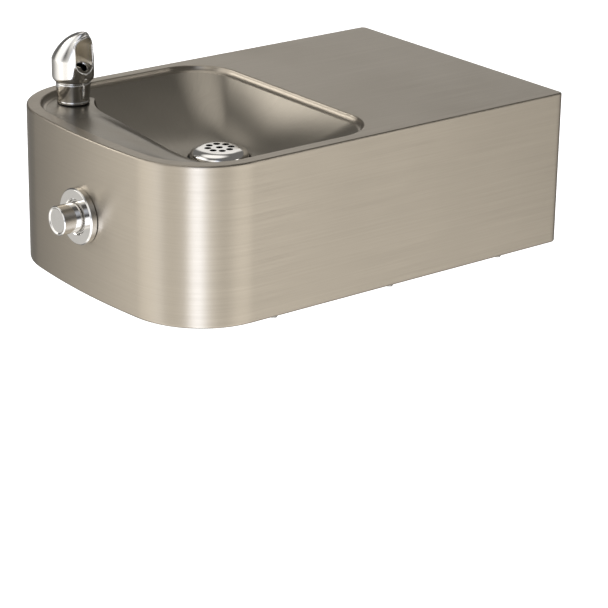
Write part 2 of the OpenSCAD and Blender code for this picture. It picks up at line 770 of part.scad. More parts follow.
// Elbow barb on the end of the cylinder, pointing right
barb_z = cylinder_end + sheet + 1.5 * air_r;
barb_y = barb_z - body_l;
air_wall = 0.4 * air_r;
barb_r = air_r - air_wall;
barb_l = 4 * air_r;
module air_barb() {
    color([0.2, 0.2, 0.21]) at_button() difference() {
        union() {
            translate([0, 0, cylinder_end + sheet]) cylinder(h = 3 * air_r, r = 1.2 * air_r);
            translate([0, 0, barb_z]) rotate([0, 90, 0]) {
                cylinder(h = barb_l, r = barb_r - run_gap);
                for (k = [2, 3]) translate([0, 0, k * air_r])
                    cylinder(h = air_r / 2, r1 = barb_r - run_gap, r2 = barb_r - run_gap);
            }
        }
        translate([0, 0, cylinder_end]) cylinder(h = barb_z - cylinder_end, r = air_r / 3);
        translate([0, 0, barb_z]) rotate([0, 90, 0]) cylinder(h = barb_l + over, r = air_r / 3);
    }
}

// Clear tube: to the right, round one bend, and straight through the back
air_bend = 7 * air_r;
module air_tube() {
    start = 1.5 * air_r;
    color([0.85, 0.9, 0.92]) {
        translate([start, barb_y, 0]) rotate([0, 90, 0])
            pipe_run(air_exit[0] - air_bend - start, air_r, air_wall);
        translate([air_exit[0] - air_bend, barb_y + air_bend, 0]) rotate(-90)
            rotate_extrude(angle = 90) translate([air_bend, 0]) difference() {
                circle(air_r, $fn = 48);
                circle(barb_r, $fn = 48);
            }
        translate([air_exit[0], 0, air_exit[1]])
            pipe_through(barb_y + air_bend, tube_out, air_r, air_wall);
    }
}

// Waste, from the strainer down and back through the wall

floor_z = drain_z - drain_floor;
lip_t = 2.5;
lip_z = floor_z + gasket_t;
strainer_z = lip_z + lip_t;
barrel_l = 1.7 * barrel_r;
barrel_end = lip_z - barrel_l;
nut_t = 0.38 * barrel_r;
slip_l = 0.7 * barrel_r;
slip_cap = 3 * pipe_wall;
cone_l = 2.5 * pipe_wall;
socket_gap = 2 * run_gap;
hole_count = 8;
hole_r = 0.12 * strainer_r;
hole_ring = 0.4 * strainer_r;
flat_r = 0.6 * strainer_r;
slot_count = 6;
skin_t = 1.2;
bend_z = arm_z + bend_r;
arm_start = drain_y + bend_r + 1.2 * barrel_r;
socket_l = barrel_r;

module at_drain(z) {
    translate([0, drain_y, z]) children();
}

// Domed strainer: flat crown with one hole and a ring of holes, round flank and notched foot
module strainer() {
    flank = [for (a = [0:15:90]) [
        flat_r + (strainer_r - flat_r) * sin(a), strainer_h * (0.3 + 0.7 * cos(a))
    ]];
    inner = [for (a = [90:-15:0]) [
        flat_r + (strainer_r - skin_t - flat_r) * sin(a), strainer_h * (0.3 + 0.7 * cos(a)) - skin_t * cos(a)
    ]];
    color([0.82, 0.81, 0.8]) at_drain(strainer_z) difference() {
        rotate_extrude($fn = 96) polygon(concat(
            [[0, strainer_h]], flank, [[strainer_r, 0], [strainer_r - skin_t, 0]], inner,
            [[0, strainer_h - skin_t]]
        ));
        cylinder(h = strainer_h + over, r = hole_r, $fn = 24);
        for (k = [0:hole_count - 1]) rotate(360 * k / hole_count + 180 / hole_count)
            translate([hole_ring, 0, 0]) cylinder(h = strainer_h + over, r = hole_r, $fn = 24);
        for (k = [0:slot_count - 1]) rotate(360 * k / slot_count)
            translate([strainer_r - 2 * skin_t, -hole_r, -over])
                cube([4 * skin_t, 2 * hole_r, over + strainer_h / 6]);
    }
}

module waste_gasket() {
    color([0.12, 0.12, 0.12]) at_drain(floor_z) ring_of(drain_r - 2 * gasket_t, drain_hole_r, gasket_t);
}

// Flanged cup with a threaded barrel; its lower end takes the pipe
module waste_body() {
    color([0.78, 0.76, 0.7]) at_drain(0) difference() {
        union() {
            translate([0, 0, lip_z]) cylinder(h = lip_t, r = drain_r - gasket_t);
            translate([0, 0, barrel_end]) cylinder(h = barrel_l, r = barrel_r);
        }
        translate([0, 0, barrel_end - over])
            cylinder(h = barrel_l / 2 + over, r = pipe_r + socket_gap);
        translate([0, 0, barrel_end + barrel_l / 2 - over])
            cylinder(h = barrel_l, r = pipe_r - pipe_wall);
        translate([0, 0, lip_z + lip_t / 2])
            cylinder(h = lip_t, r1 = pipe_r - pipe_wall, r2 = strainer_r - 3 * skin_t);
    }
}

module waste_washer() {
    color([0.5, 0.5, 0.5]) at_drain(floor_z - 2 * sheet)
        ring_of(drain_r - gasket_t, barrel_r + run_gap, sheet);
}
module waste_nut() {
    color([0.72, 0.6, 0.32]) at_drain(floor_z - 2 * sheet - nut_t)
        hex_of(1.45 * barrel_r, barrel_r + run_gap, nut_t);
}

// Slip joint: a nut on the thread and a cone washer that grips the pipe, opening upwards
module slip_nut() {
    difference() {
        union() {
            translate([0, 0, -slip_cap - cone_l]) cylinder(h = slip_l, r = 1.25 * barrel_r, $fn = 6);
            translate([0, 0, -slip_cap - cone_l]) cylinder(h = slip_cap, r = 1.12 * barrel_r);
        }
        translate([0, 0, -cone_l]) cylinder(h = slip_l, r = barrel_r + run_gap);
        translate([0, 0, -slip_cap - cone_l - over]) cylinder(h = slip_l, r = pipe_r + socket_gap);
    }
}
module slip_washer() {
    translate([0, 0, -cone_l]) difference() {
        cylinder(h = cone_l, r = barrel_r - free_gap);
        translate([0, 0, -over]) cylinder(h = cone_l + 2 * over, r = pipe_r + run_gap);
    }
}
module at_slip_joints() {
    translate([0, drain_y, barrel_end]) children();
    translate([0, arm_start + socket_l / 2, arm_z]) rotate([90, 0, 0]) children();
}
module slip_nuts() {
    color([0.78, 0.77, 0.75]) at_slip_joints() slip_nut();
}
module slip_washers() {
    color([0.9, 0.9, 0.88]) at_slip_joints() slip_washer();
}

// Bend with a straight leg into the barrel and a threaded socket for the arm
module waste_bend() {
    leg = barrel_end + barrel_l / 2 - gasket_t - bend_z;
    color([0.78, 0.77, 0.75]) {
        at_drain(bend_z) pipe_run(leg, pipe_r, pipe_wall);
        at_drain(bend_z) rotate([180, 0, 90]) pipe_turn(bend_r, 90, pipe_r, pipe_wall);
        translate([0, drain_y + bend_r, arm_z]) rotate([-90, 0, 0])
            pipe_run(arm_start - socket_l / 2 - drain_y - bend_r, pipe_r, pipe_wall);
        translate([0, arm_start - socket_l / 2, arm_z]) rotate([-90, 0, 0]) {
            difference() {
                cylinder(h = socket_l, r = barrel_r);
                translate([0, 0, pipe_wall]) cylinder(h = socket_l, r = pipe_r + socket_gap);
                translate([0, 0, -over]) cylinder(h = socket_l, r = pipe_r - pipe_wall);
            }
        }
    }
}
module waste_arm() {
    start = arm_start - socket_l / 2 + pipe_wall + gasket_t;
    color([0.78, 0.77, 0.75]) translate([0, 0, arm_z])
        pipe_through(start, waste_out, pipe_r, pipe_wall);
}

apron();
deck();
basin();
back_carrier();
bottom_cover();
cover_screws();
weld_nuts();
bubbler_head();
bubbler_nozzle();
bubbler_gasket();
bubbler_washer();
bubbler_nut();
tube_elbow();
elbow_collet();
water_tube();
back_grommets();
button_gasket();
escutcheon();
button_sleeve();
button_washer();
button_nut();
push_knob();
return_spring();
stem_clip();
air_piston();
piston_ring();
piston_screw();
air_cylinder();
air_barb();
air_tube();
strainer();
waste_gasket();
waste_body();
waste_washer();
waste_nut();
slip_nuts();
slip_washers();
waste_bend();
waste_arm();
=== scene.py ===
"""Dresses the wall-hung drinking fountain: brushed body, pressed basin, bubbler, button, waste and studio."""

import bpy
import numpy as np
from bpy.props import FloatProperty, FloatVectorProperty, PointerProperty
from mathutils import Matrix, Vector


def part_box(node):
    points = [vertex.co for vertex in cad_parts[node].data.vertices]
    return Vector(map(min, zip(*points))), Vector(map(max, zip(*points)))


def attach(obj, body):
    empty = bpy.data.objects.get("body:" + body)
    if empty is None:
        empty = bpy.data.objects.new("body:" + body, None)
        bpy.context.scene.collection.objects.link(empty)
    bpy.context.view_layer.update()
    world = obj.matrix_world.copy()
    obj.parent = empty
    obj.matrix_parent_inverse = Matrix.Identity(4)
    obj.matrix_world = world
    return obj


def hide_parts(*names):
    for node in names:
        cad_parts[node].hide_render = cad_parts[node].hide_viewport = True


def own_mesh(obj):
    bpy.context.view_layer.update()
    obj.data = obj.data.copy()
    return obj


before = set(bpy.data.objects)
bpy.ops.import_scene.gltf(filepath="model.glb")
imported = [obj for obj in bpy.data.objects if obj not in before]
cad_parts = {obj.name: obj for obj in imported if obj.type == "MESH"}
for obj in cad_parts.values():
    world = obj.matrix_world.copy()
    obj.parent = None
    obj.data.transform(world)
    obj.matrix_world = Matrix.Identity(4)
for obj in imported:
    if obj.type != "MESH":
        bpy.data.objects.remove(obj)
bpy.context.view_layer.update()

bl_info = {
    "name": "Wall drinking fountain",
    "version": (1, 0, 0),
    "blender": (4, 5, 0),
    "location": "View3D > Sidebar > Fountain",
    "description": "Makes the smooth surfaces and finishes of a wall-hung drinking fountain",
    "category": "Add Mesh",
}

MM = 0.001
TAU = 2 * np.pi
QUARTER = np.pi / 2
CREASE = 5.0  # inset of the crease between the basin's small wall and its floor, in millimetres
SEAL = 1.2  # height of the bubbler's seat above the crease
STRAINER_Z = 27.2  # height of the strainer's foot in the frame
ARCH = 14  # rings of the rounded back of the window's cutter and of the bubbler's shoulder


# Sizes and finishes that a user would change

def length(name, mm, text):
    """A length property in metres, given in millimetres."""
    return FloatProperty(name=name, description=text, default=mm * MM, min=0.0, unit="LENGTH", precision=5)


def share(name, value, text):
    """A property from 0 to 1."""
    return FloatProperty(name=name, description=text, default=value, min=0.0, max=1.0, subtype="FACTOR")


def colour(name, rgb, text):
    """A linear colour property."""
    return FloatVectorProperty(name=name, description=text, default=rgb, subtype="COLOR", size=3, min=0.0, max=1.0)


class FountainBody(bpy.types.PropertyGroup):
    """Sizes of the sheet body."""
    width: length("Width", 318, "Width of the body")
    reach: length("Reach", 476, "Distance from the wall to the middle of the front")
    height: length("Height", 159, "Height from the bottom edge to the deck")
    bow: length("Bow radius", 800, "Radius of the shallow bow across the front")
    corner: length("Front corner", 82, "Radius of the front corners")
    back_corner: length("Back corner", 6, "Radius of the bends at the wall")
    edge: length("Edge radius", 1.8, "Radius of the rolled edge between deck and side")
    sheet: length("Sheet", 2, "Thickness of the sheet")
    flange: length("Flange", 20, "Width of the flange folded in along the bottom")


class FountainBasin(bpy.types.PropertyGroup):
    """Sizes of the pressed basin."""
    rim: length("Rim", 14, "Deck left beside and in front of the basin")
    back: length("Back", 224, "Distance from the wall to the back of the basin")
    back_corner: length("Back corner", 48, "Radius of the back corners")
    drop: length("Drop", 6, "Small wall from the deck down to the crease")
    depth: length("Depth", 45, "From the crease down to the drain")
    drain: length("Drain", 313, "Distance from the wall to the drain")
    drain_radius: length("Drain radius", 32, "Radius of the recess of the strainer")
    crest: length("Crest", 1.3, "Rounding of the edge of the swirl shelf")
    pad: length("Pad", 2.2, "Swell of the shelf round the foot of the bubbler")


class FountainBubbler(bpy.types.PropertyGroup):
    """Sizes of the hooded bubbler."""
    left: length("Left", 115, "Distance of the bubbler to the left of the middle")
    out: length("Out", 408, "Distance of the bubbler from the wall")
    height: length("Height", 73.5, "Height above its seal")
    neck: length("Neck radius", 17.4, "Radius of the neck at its top")
    head: length("Head radius", 21, "Radius of the hood")
    window: length("Window width", 21, "Width of the window in the hood")
    sill: length("Window bottom", 32.4, "Bottom of the window above the seal")
    crown: length("Window top", 67.2, "Top of the window above the seal")
    lip: length("Lip", 1.1, "Half width of the bezel round the window")


class FountainButton(bpy.types.PropertyGroup):
    """Sizes of the push button."""
    ring: length("Ring radius", 27.8, "Outer radius of the ring")
    ring_height: length("Ring height", 7, "How far the ring stands off the front")
    knob: length("Knob radius", 14.5, "Radius of the knob")
    knob_out: length("Knob out", 28, "How far the knob stands off the front")


class FountainWaste(bpy.types.PropertyGroup):
    """Sizes of the strainer."""
    strainer: length("Strainer radius", 29.5, "Radius of the domed strainer")
    dome: length("Strainer height", 11, "Height of the dome")


class FountainFinish(bpy.types.PropertyGroup):
    """Colours and gloss of the finishes."""
    steel: colour("Brushed steel", (0.385, 0.343, 0.283), "Colour of the brushed body")
    bowl: colour("Basin steel", (0.30, 0.272, 0.228), "Colour of the basin")
    chrome: colour("Chrome", (0.66, 0.645, 0.62), "Colour of the polished pieces")
    brush: share("Brush", 0.3, "Contrast of the brush lines")
    steel_gloss: share("Steel roughness", 0.31, "Roughness of the brushed body")
    chrome_gloss: share("Chrome roughness", 0.07, "Roughness of the polished pieces")


class FountainStudio(bpy.types.PropertyGroup):
    """Floor and light of the studio."""
    drop: length("Floor drop", 520, "Distance from the middle of the body down to the floor")
    light: FloatProperty(name="Light", description="Strength of all the light", default=1.0, min=0.0, max=10.0)


SETTINGS = {
    "fountain_body": FountainBody, "fountain_basin": FountainBasin, "fountain_bubbler": FountainBubbler,
    "fountain_button": FountainButton, "fountain_waste": FountainWaste, "fountain_finish": FountainFinish,
    "fountain_studio": FountainStudio,
}


def mm(value):
    """A property in metres as millimetres, without float noise."""
    return round(value / MM, 4)


# Meshes from arrays

def grid_mesh(name, grid, uv=None, wrap=False, ends=(False, False), flip=False):
    """Object from a grid of points in millimetres. Rows run along the section, columns round the piece; wrap joins
    the last column to the first, ends closes the first and last row with one face each. uv has one more column than
    a wrapped grid, in metres."""
    grid = np.asarray(grid, float)
    rows, cols, _ = grid.shape
    r, c = np.meshgrid(np.arange(rows - 1), np.arange(cols if wrap else cols - 1), indexing="ij")
    nxt = (c + 1) % cols
    quads = np.stack([r * cols + c, r * cols + nxt, (r + 1) * cols + nxt, (r + 1) * cols + c], -1).reshape(-1, 4)
    width = cols + 1 if wrap else cols
    places = np.stack([r * width + c, r * width + c + 1, (r + 1) * width + c + 1, (r + 1) * width + c],
                      -1).reshape(-1, 4)
    if flip:
        quads, places = quads[:, ::-1], places[:, ::-1]
    loops, counts = [quads.ravel()], [np.full(len(quads), 4)]
    uv_loops = None if uv is None else [np.asarray(uv, float).reshape(-1, 2)[places.ravel()]]
    for end, row in ((ends[0], 0), (ends[1], rows - 1)):
        if end:
            cap = np.arange(cols) + row * cols
            cap = cap[::-1] if (row == 0) != flip else cap
            loops.append(cap)
            counts.append([cols])
            if uv_loops is not None:
                uv_loops.append(grid.reshape(-1, 3)[cap][:, :2] * MM)
    loops, counts = np.concatenate(loops), np.concatenate(counts)
    mesh = bpy.data.meshes.new(name)
    mesh.vertices.add(rows * cols)
    mesh.vertices.foreach_set("co", (grid * MM).astype(np.float32).ravel())
    mesh.loops.add(len(loops))
    mesh.loops.foreach_set("vertex_index", loops.astype(np.int32))
    mesh.polygons.add(len(counts))
    mesh.polygons.foreach_set("loop_start", np.concatenate([[0], np.cumsum(counts)[:-1]]).astype(np.int32))
    mesh.polygons.foreach_set("use_smooth", np.ones(len(counts), bool))
    mesh.update(calc_edges=True)
    if uv_loops is not None:
        layer = mesh.uv_layers.new(name="brush")
        layer.uv.foreach_set("vector", np.concatenate(uv_loops).astype(np.float32).ravel())
    mesh.validate()
    piece = bpy.data.objects.new(name, mesh)
    bpy.context.scene.collection.objects.link(piece)
    return piece


def lengths(points):
    """Running length along a row of points."""
    return np.concatenate([[0], np.cumsum(np.linalg.norm(np.diff(points, axis=0), axis=1))])


def unit(vectors):
    """Vectors brought to length 1."""
    return vectors / np.linalg.norm(vectors, axis=-1, keepdims=True)


def swept(path, side, face, wide, thick, steps):
    """Grid of an oval section, half as wide along side and half as thick along face, at each point of a path."""
    c = np.arange(steps)[None, :, None] / steps * TAU
    return path[:, None] + wide * np.cos(c) * side[:, None] + thick * np.sin(c) * face[:, None]


def bake(piece, *cutters, angle=32.0):
    """Applies the piece's modifiers and cuts the cutters out of it, then marks edges sharper than angle."""
    for i, cutter in enumerate(cutters):
        cut = piece.modifiers.new(f"cut {i}", "BOOLEAN")
        cut.object, cut.solver, cut.operation = cutter, "EXACT", "DIFFERENCE"
    bpy.context.view_layer.update()
    done = bpy.data.meshes.new_from_object(piece.evaluated_get(bpy.context.evaluated_depsgraph_get()))
    old, piece.data = piece.data, done
    done.name = piece.name
    piece.modifiers.clear()
    bpy.data.meshes.remove(old)
    for cutter in cutters:
        shape = cutter.data
        bpy.data.objects.remove(cutter)
        bpy.data.meshes.remove(shape)
    done.polygons.foreach_set("use_smooth", np.ones(len(done.polygons), bool))
    done.set_sharp_from_angle(angle=np.radians(angle))
    return piece


def placed(points, place):
    """Points in millimetres moved by a 4x4 in millimetres."""
    move = np.array(place)
    return points @ move[:3, :3].T + move[:3, 3]


def points_of(piece, place):
    """The piece's points in millimetres, in the frame of place."""
    at = np.empty(len(piece.data.vertices) * 3, np.float32)
    piece.data.vertices.foreach_get("co", at)
    return placed(at.reshape(-1, 3) / MM, place.inverted())


def spun(name, profile, turns, place, flip=False):
    """Surface of revolution: profile points (radius, height) in millimetres turned round the Z axis, then moved by
    place, a 4x4 in millimetres. A radius just above zero is closed by one small face."""
    profile = np.asarray(profile, float)
    a = np.arange(turns) / turns * TAU
    grid = np.stack([profile[:, :1] * np.cos(a), profile[:, :1] * np.sin(a),
                     np.repeat(profile[:, 1:], turns, 1)], -1)
    u, v = np.meshgrid(np.arange(turns + 1) / turns * TAU * max(profile[:, 0].max(), 1.0), lengths(profile))
    grid = placed(grid, place)
    poles = tuple(0 < radius < 0.1 for radius in (profile[0, 0], profile[-1, 0]))
    return grid_mesh(name, grid, np.stack([v, u], -1) * MM, wrap=True, ends=poles, flip=flip)


def drill(radius, low, high, turns, place):
    """Cutter of a round hole along the Z axis of place."""
    return spun("cutter", [(0, low), (radius, low), (radius, high), (0, high)], turns, place)


def rounded(points, radii, steps=5):
    """Profile whose inner corners are replaced by arcs of the given radii: tangent points on both legs and points on
    the circle between them."""
    p = np.asarray(points, float)
    out = [p[0]]
    for i in range(1, len(p) - 1):
        a, b = p[i - 1] - p[i], p[i + 1] - p[i]
        la, lb = np.hypot(*a), np.hypot(*b)
        a, b = a / la, b / lb
        half = np.arccos(np.clip(a @ b, -1, 1)) / 2
        r = radii[i - 1]
        if r <= 0 or half > 1.55:
            out.append(p[i])
            continue
        t = min(r / np.tan(half), 0.49 * la, 0.49 * lb)
        r = t * np.tan(half)
        centre = p[i] + (a + b) / np.hypot(*(a + b)) * r / np.sin(half)
        s, e = p[i] + a * t - centre, p[i] + b * t - centre
        turn = np.arctan2(s[0] * e[1] - s[1] * e[0], s @ e)
        for k in np.linspace(0, 1, steps + 1):
            c, d = np.cos(turn * k), np.sin(turn * k)
            out.append(centre + [s[0] * c - s[1] * d, s[0] * d + s[1] * c])
    out.append(p[-1])
    return np.array(out)


def held(profile, hold=0.25):
    """Adds points close to both ends of every long leg, so that flat stretches stay flat under smooth shading."""
    p = np.asarray(profile, float)
    out = [p[0]]
    for a, b in zip(p[:-1], p[1:]):
        span = np.hypot(*(b - a))
        if span > 4 * hold:
            out += [a + (b - a) * hold / span, b - (b - a) * hold / span]
        out.append(b)
    return np.array(out)


def frame_at(x, y, z, axis="Z", roll=0.0):
    """4x4 in millimetres that puts a piece made along Z at a place, along Z or along the button's axis Y."""
    turn = Matrix.Rotation(np.radians(roll), 4, "Z")
    lay = Matrix.Rotation(np.radians(-90), 4, "X") if axis == "Y" else Matrix.Identity(4)
    return Matrix.Translation((x, y, z)) @ turn @ lay


# Plan of body and basin

def body_plan(s, inset):
    """Half width, back, front, bow radius, front and back corner radius of the body, drawn in by inset."""
    return (mm(s.width) / 2 - inset, -inset, inset - mm(s.reach), mm(s.bow) - inset, mm(s.corner) - inset,
            max(mm(s.back_corner) / 3, mm(s.back_corner) - inset))


def basin_plan(s, b, inset):
    """The same six values for the opening of the basin."""
    rim = mm(b.rim)
    return (mm(s.width) / 2 - rim - inset, -mm(b.back) - inset, rim + inset - mm(s.reach),
            mm(s.bow) - rim - inset, mm(s.corner) - rim - inset, mm(b.back_corner) - inset)


def plan_centres(p):
    """Middle of the bow in y, middle of a front corner in x and y, half angle of the bow."""
    bow_y, cx = p[2] + p[3], p[0] - p[4]
    half = np.arcsin(cx / (p[3] - p[4]))
    return bow_y, cx, bow_y - (p[3] - p[4]) * np.cos(half), half


def spread(n, hold=0.012):
    """n + 1 shares from 0 to 1, closer together near both ends."""
    t = np.linspace(0, 1, n + 1)
    s = t * t * (3 - 2 * t)
    s[1], s[-2] = min(s[1], hold), max(s[-2], 1 - hold)
    return s


def plan_outline(p):
    """Outline of a plan as points, from the middle of the back to the left and round: straight runs, arcs round the
    four corners and the shallow bow."""
    back, side, bend, corner, bow = 8, 18, 12, 48, 44  # steps of each stretch
    bow_y, cx, cy, half = plan_centres(p)
    bx, by = p[0] - p[5], p[1] - p[5]

    def arc(x, y, r, a, b, n):
        t = np.radians(a) + (np.radians(b) - np.radians(a)) * np.linspace(0, 1, n + 1)
        return np.stack([x + r * np.cos(t), y + r * np.sin(t)], -1)

    def run(a, b, n):
        return np.array(a) + (np.array(b) - np.array(a)) * spread(n)[:, None]

    h = np.degrees(half)
    parts = [
        run((0, p[1]), (-bx, p[1]), back), arc(-bx, by, p[5], 90, 180, bend), run((-p[0], by), (-p[0], cy), side),
        arc(-cx, cy, p[4], 180, 270 - h, corner), arc(0, bow_y, p[3], 270 - h, 270 + h, bow),
        arc(cx, cy, p[4], 270 + h, 360, corner), run((p[0], cy), (p[0], by), side),
        arc(bx, by, p[5], 0, 90, bend), run((bx, p[1]), (0, p[1]), back),
    ]
    return np.concatenate([q[:-1] for q in parts])


def reach(p, drain_y, angle):
    """Distance from the drain to the edge of a plan in each direction, by halving the span where the edge lies."""
    bow_y, cx, cy, half = plan_centres(p)
    lo, hi = np.zeros_like(angle), np.full_like(angle, 600.0)
    for _ in range(40):
        m = (lo + hi) / 2
        x, y = np.abs(m * np.cos(angle)), drain_y + m * np.sin(angle)
        bx, by = x - (p[0] - p[5]), y - (p[1] - p[5])
        inside = np.where(y > p[1], False,
                 np.where((bx > 0) & (by > 0), np.hypot(bx, by) < p[5],
                 np.where(y >= cy, x < p[0],
                 np.where(np.arctan2(x, bow_y - y) < half, np.hypot(x, y - bow_y) < p[3],
                          np.hypot(x - cx, y - cy) < p[4]))))
        lo, hi = np.where(inside, m, lo), np.where(inside, hi, m)
    return (lo + hi) / 2


def ease(a, b, x):
    """Smooth step from 0 at a to 1 at b."""
    t = np.clip((x - a) / (b - a), 0, 1)
    return t * t * (3 - 2 * t)


# Finishes

def shader_group(name, outputs, **inputs):
    """Empty node group with a Vector input, float inputs with their first values, and float outputs."""
    tree = bpy.data.node_groups.new(name, "ShaderNodeTree")
    tree.interface.new_socket(name="Vector", in_out="INPUT", socket_type="NodeSocketVector")
    for label, value in inputs.items():
        item = tree.interface.new_socket(name=label, in_out="INPUT", socket_type="NodeSocketFloat")
        item.default_value = value
    for label in outputs:
        tree.interface.new_socket(name=label, in_out="OUTPUT", socket_type="NodeSocketFloat")
    return tree, tree.nodes.new("NodeGroupInput"), tree.nodes.new("NodeGroupOutput")


def feed(tree, node, values):
    """Links a socket into each named or numbered input of a node, or sets a constant on it."""
    for key, value in values.items():
        if isinstance(value, bpy.types.NodeSocket):
            tree.links.new(value, node.inputs[key])
        else:
            node.inputs[key].default_value = value


def add(tree, kind, values, **properties):
    """Adds a node, sets its properties and feeds its inputs."""
    node = tree.nodes.new(kind)
    for key, value in properties.items():
        setattr(node, key, value)
    feed(tree, node, values)
    return node


def calc(tree, operation, *values, clamp=False):
    """Math node on sockets or numbers."""
    node = tree.nodes.new("ShaderNodeMath")
    node.operation, node.use_clamp = operation, clamp
    feed(tree, node, dict(enumerate(values)))
    return node.outputs[0]


def brush_group():
    """Brush lines: two noises stretched along the second coordinate, one coarse and one fine, summed. Lines is from
    0 to 1 round 0.5, Fine is the fine one alone for the bump."""
    if "brush_lines" in bpy.data.node_groups:
        return bpy.data.node_groups["brush_lines"]
    tree, i, o = shader_group("brush_lines", ("Lines", "Fine"), Coarse=520.0, Fine=1900.0, Stretch=90.0)
    xyz = add(tree, "ShaderNodeSeparateXYZ", {0: i.outputs["Vector"]})
    made = []
    for key, seed in (("Coarse", 0.0), ("Fine", 7.3)):
        across, along, depth = (calc(tree, "MULTIPLY", xyz.outputs[axis], i.outputs[key]) for axis in range(3))
        along = calc(tree, "DIVIDE", along, i.outputs["Stretch"])
        at = add(tree, "ShaderNodeCombineXYZ", {0: across, 1: along, 2: calc(tree, "ADD", depth, seed)})
        noise = add(tree, "ShaderNodeTexNoise",
                    {"Vector": at.outputs[0], "Scale": 1.0, "Detail": 3.0, "Roughness": 0.6})
        made.append(noise.outputs["Fac"])
    total = calc(tree, "MULTIPLY_ADD", made[0], 0.55, calc(tree, "MULTIPLY", made[1], 0.45))
    feed(tree, o, {"Lines": total, "Fine": made[1]})
    return tree


def smudge_group():
    """Soft handling marks: a broad noise raised to a mask of a few pale patches, from 0 to 1."""
    if "smudges" in bpy.data.node_groups:
        return bpy.data.node_groups["smudges"]
    tree, i, o = shader_group("smudges", ("Mask",), Scale=14.0)
    noise = add(tree, "ShaderNodeTexNoise", {"Vector": i.outputs["Vector"], "Scale": i.outputs["Scale"],
                                             "Detail": 4.0, "Roughness": 0.55, "Distortion": 0.4})
    patches = calc(tree, "SUBTRACT", noise.outputs["Fac"], 0.42)
    feed(tree, o, {"Mask": calc(tree, "MULTIPLY", patches, 2.6, clamp=True)})
    return tree


def marks_on(tree, where, scale):
    """Mask of the handling marks at a scale, on Object coordinates."""
    marks = add(tree, "ShaderNodeGroup", {}, node_tree=smudge_group())
    feed(tree, marks, {"Vector": where.outputs["Object"], "Scale": scale})
    return marks.outputs["Mask"]


def mixed(tree, factor, a, b):
    """Colour between a and b, each a linear colour or a socket."""
    a, b = ((*c, 1) if isinstance(c, tuple) else c for c in (a, b))
    return add(tree, "ShaderNodeMix", {"Factor": factor, "A": a, "B": b}, data_type="RGBA").outputs["Result"]


def times(rgb, factor, shift=0.0):
    """A colour made lighter or darker, kept at or under 1."""
    return tuple(min(1, c * factor + shift) for c in rgb)


def bumped(tree, height, strength, distance):
    """Normal turned by a height map; distance in metres."""
    return add(tree, "ShaderNodeBump", {"Height": height, "Strength": strength, "Distance": distance}).outputs[0]


def mark_inside(piece, depth):
    """Writes the mask "inside" on a mesh from the depth of each point below the outer surface in millimetres."""
    skin, fade = 0.35, 0.3
    mask = piece.data.attributes.new("inside", "FLOAT", "POINT")
    mask.data.foreach_set("value", np.clip((depth - skin) / fade, 0, 1).astype(np.float32))


def new_material(name):
    """Material with only an output and a Principled shader."""
    material = bpy.data.materials.new(name)
    material.use_nodes = True
    tree = material.node_tree
    tree.nodes.clear()
    out = tree.nodes.new("ShaderNodeOutputMaterial")
    shader = tree.nodes.new("ShaderNodeBsdfPrincipled")
    tree.links.new(shader.outputs[0], out.inputs[0])
    return material, tree, shader


def brushed(name, rgb, roughness, contrast, anisotropy=0.0, stretch=90.0):
    """Brushed metal: lines change colour, roughness and bump. With anisotropy they follow the piece's own brush map
    and highlights stretch across them; without it they run along object Y."""
    darkest, lightest, gloss = 0.62, 1.38, -0.16
    material, tree, shader = new_material(name)
    where = add(tree, "ShaderNodeTexCoord", {})
    lines = add(tree, "ShaderNodeGroup", {}, node_tree=brush_group())
    feed(tree, lines, {"Vector": where.outputs["UV" if anisotropy else "Object"], "Stretch": stretch})
    marks = marks_on(tree, where, 9.0)
    swing = calc(tree, "SUBTRACT", lines.outputs["Lines"], 0.5)
    tone = calc(tree, "MULTIPLY_ADD", swing, contrast, calc(tree, "MULTIPLY_ADD", marks, 0.06, 0.47), clamp=True)
    tone = mixed(tree, tone, times(rgb, darkest), times(rgb, lightest))
    rough = calc(tree, "MULTIPLY_ADD", swing, gloss, calc(tree, "MULTIPLY_ADD", marks, 0.04, roughness), clamp=True)
    feed(tree, shader, {"Base Color": tone, "Roughness": rough, "Metallic": 1.0, "Anisotropic": anisotropy,
                        "Normal": bumped(tree, lines.outputs["Fine"], 0.12, 0.0004)})
    if anisotropy:
        tangent = add(tree, "ShaderNodeTangent", {}, direction_type="UV_MAP", uv_map="brush")
        feed(tree, shader, {"Tangent": tangent.outputs[0]})
    return material


def polished(name, rgb, roughness, scratch=0.03, inside=None):
    """Plated or polished metal: faint handling marks and hairlines in roughness and bump. With inside, a colour and a
    roughness, the mesh's mask of that name gives them to the hidden side: a rougher finish, which on the strainer
    and nozzle is near black, painted shade in their hollows and holes, and on the hood paler and warmer."""
    material, tree, shader = new_material(name)
    where = add(tree, "ShaderNodeTexCoord", {})
    marks = marks_on(tree, where, 60.0)
    hair = add(tree, "ShaderNodeTexNoise", {"Vector": where.outputs["Object"], "Scale": 420.0, "Detail": 2.0})
    hair = hair.outputs["Fac"]
    rough = calc(tree, "MULTIPLY_ADD", marks, 0.05, calc(tree, "MULTIPLY_ADD", hair, 0.03, roughness - 0.02),
                 clamp=True)
    tone = mixed(tree, calc(tree, "MULTIPLY", marks, 0.5), rgb, times(rgb, 0.9))
    if inside:
        mask = add(tree, "ShaderNodeAttribute", {}, attribute_name="inside").outputs["Fac"]
        tone = mixed(tree, mask, tone, inside[0])
        rough = calc(tree, "MULTIPLY_ADD", mask, inside[1] - roughness, rough)
    feed(tree, shader, {"Base Color": tone, "Roughness": rough, "Metallic": 1.0,
                        "Normal": bumped(tree, hair, scratch, 0.0003)})
    return material


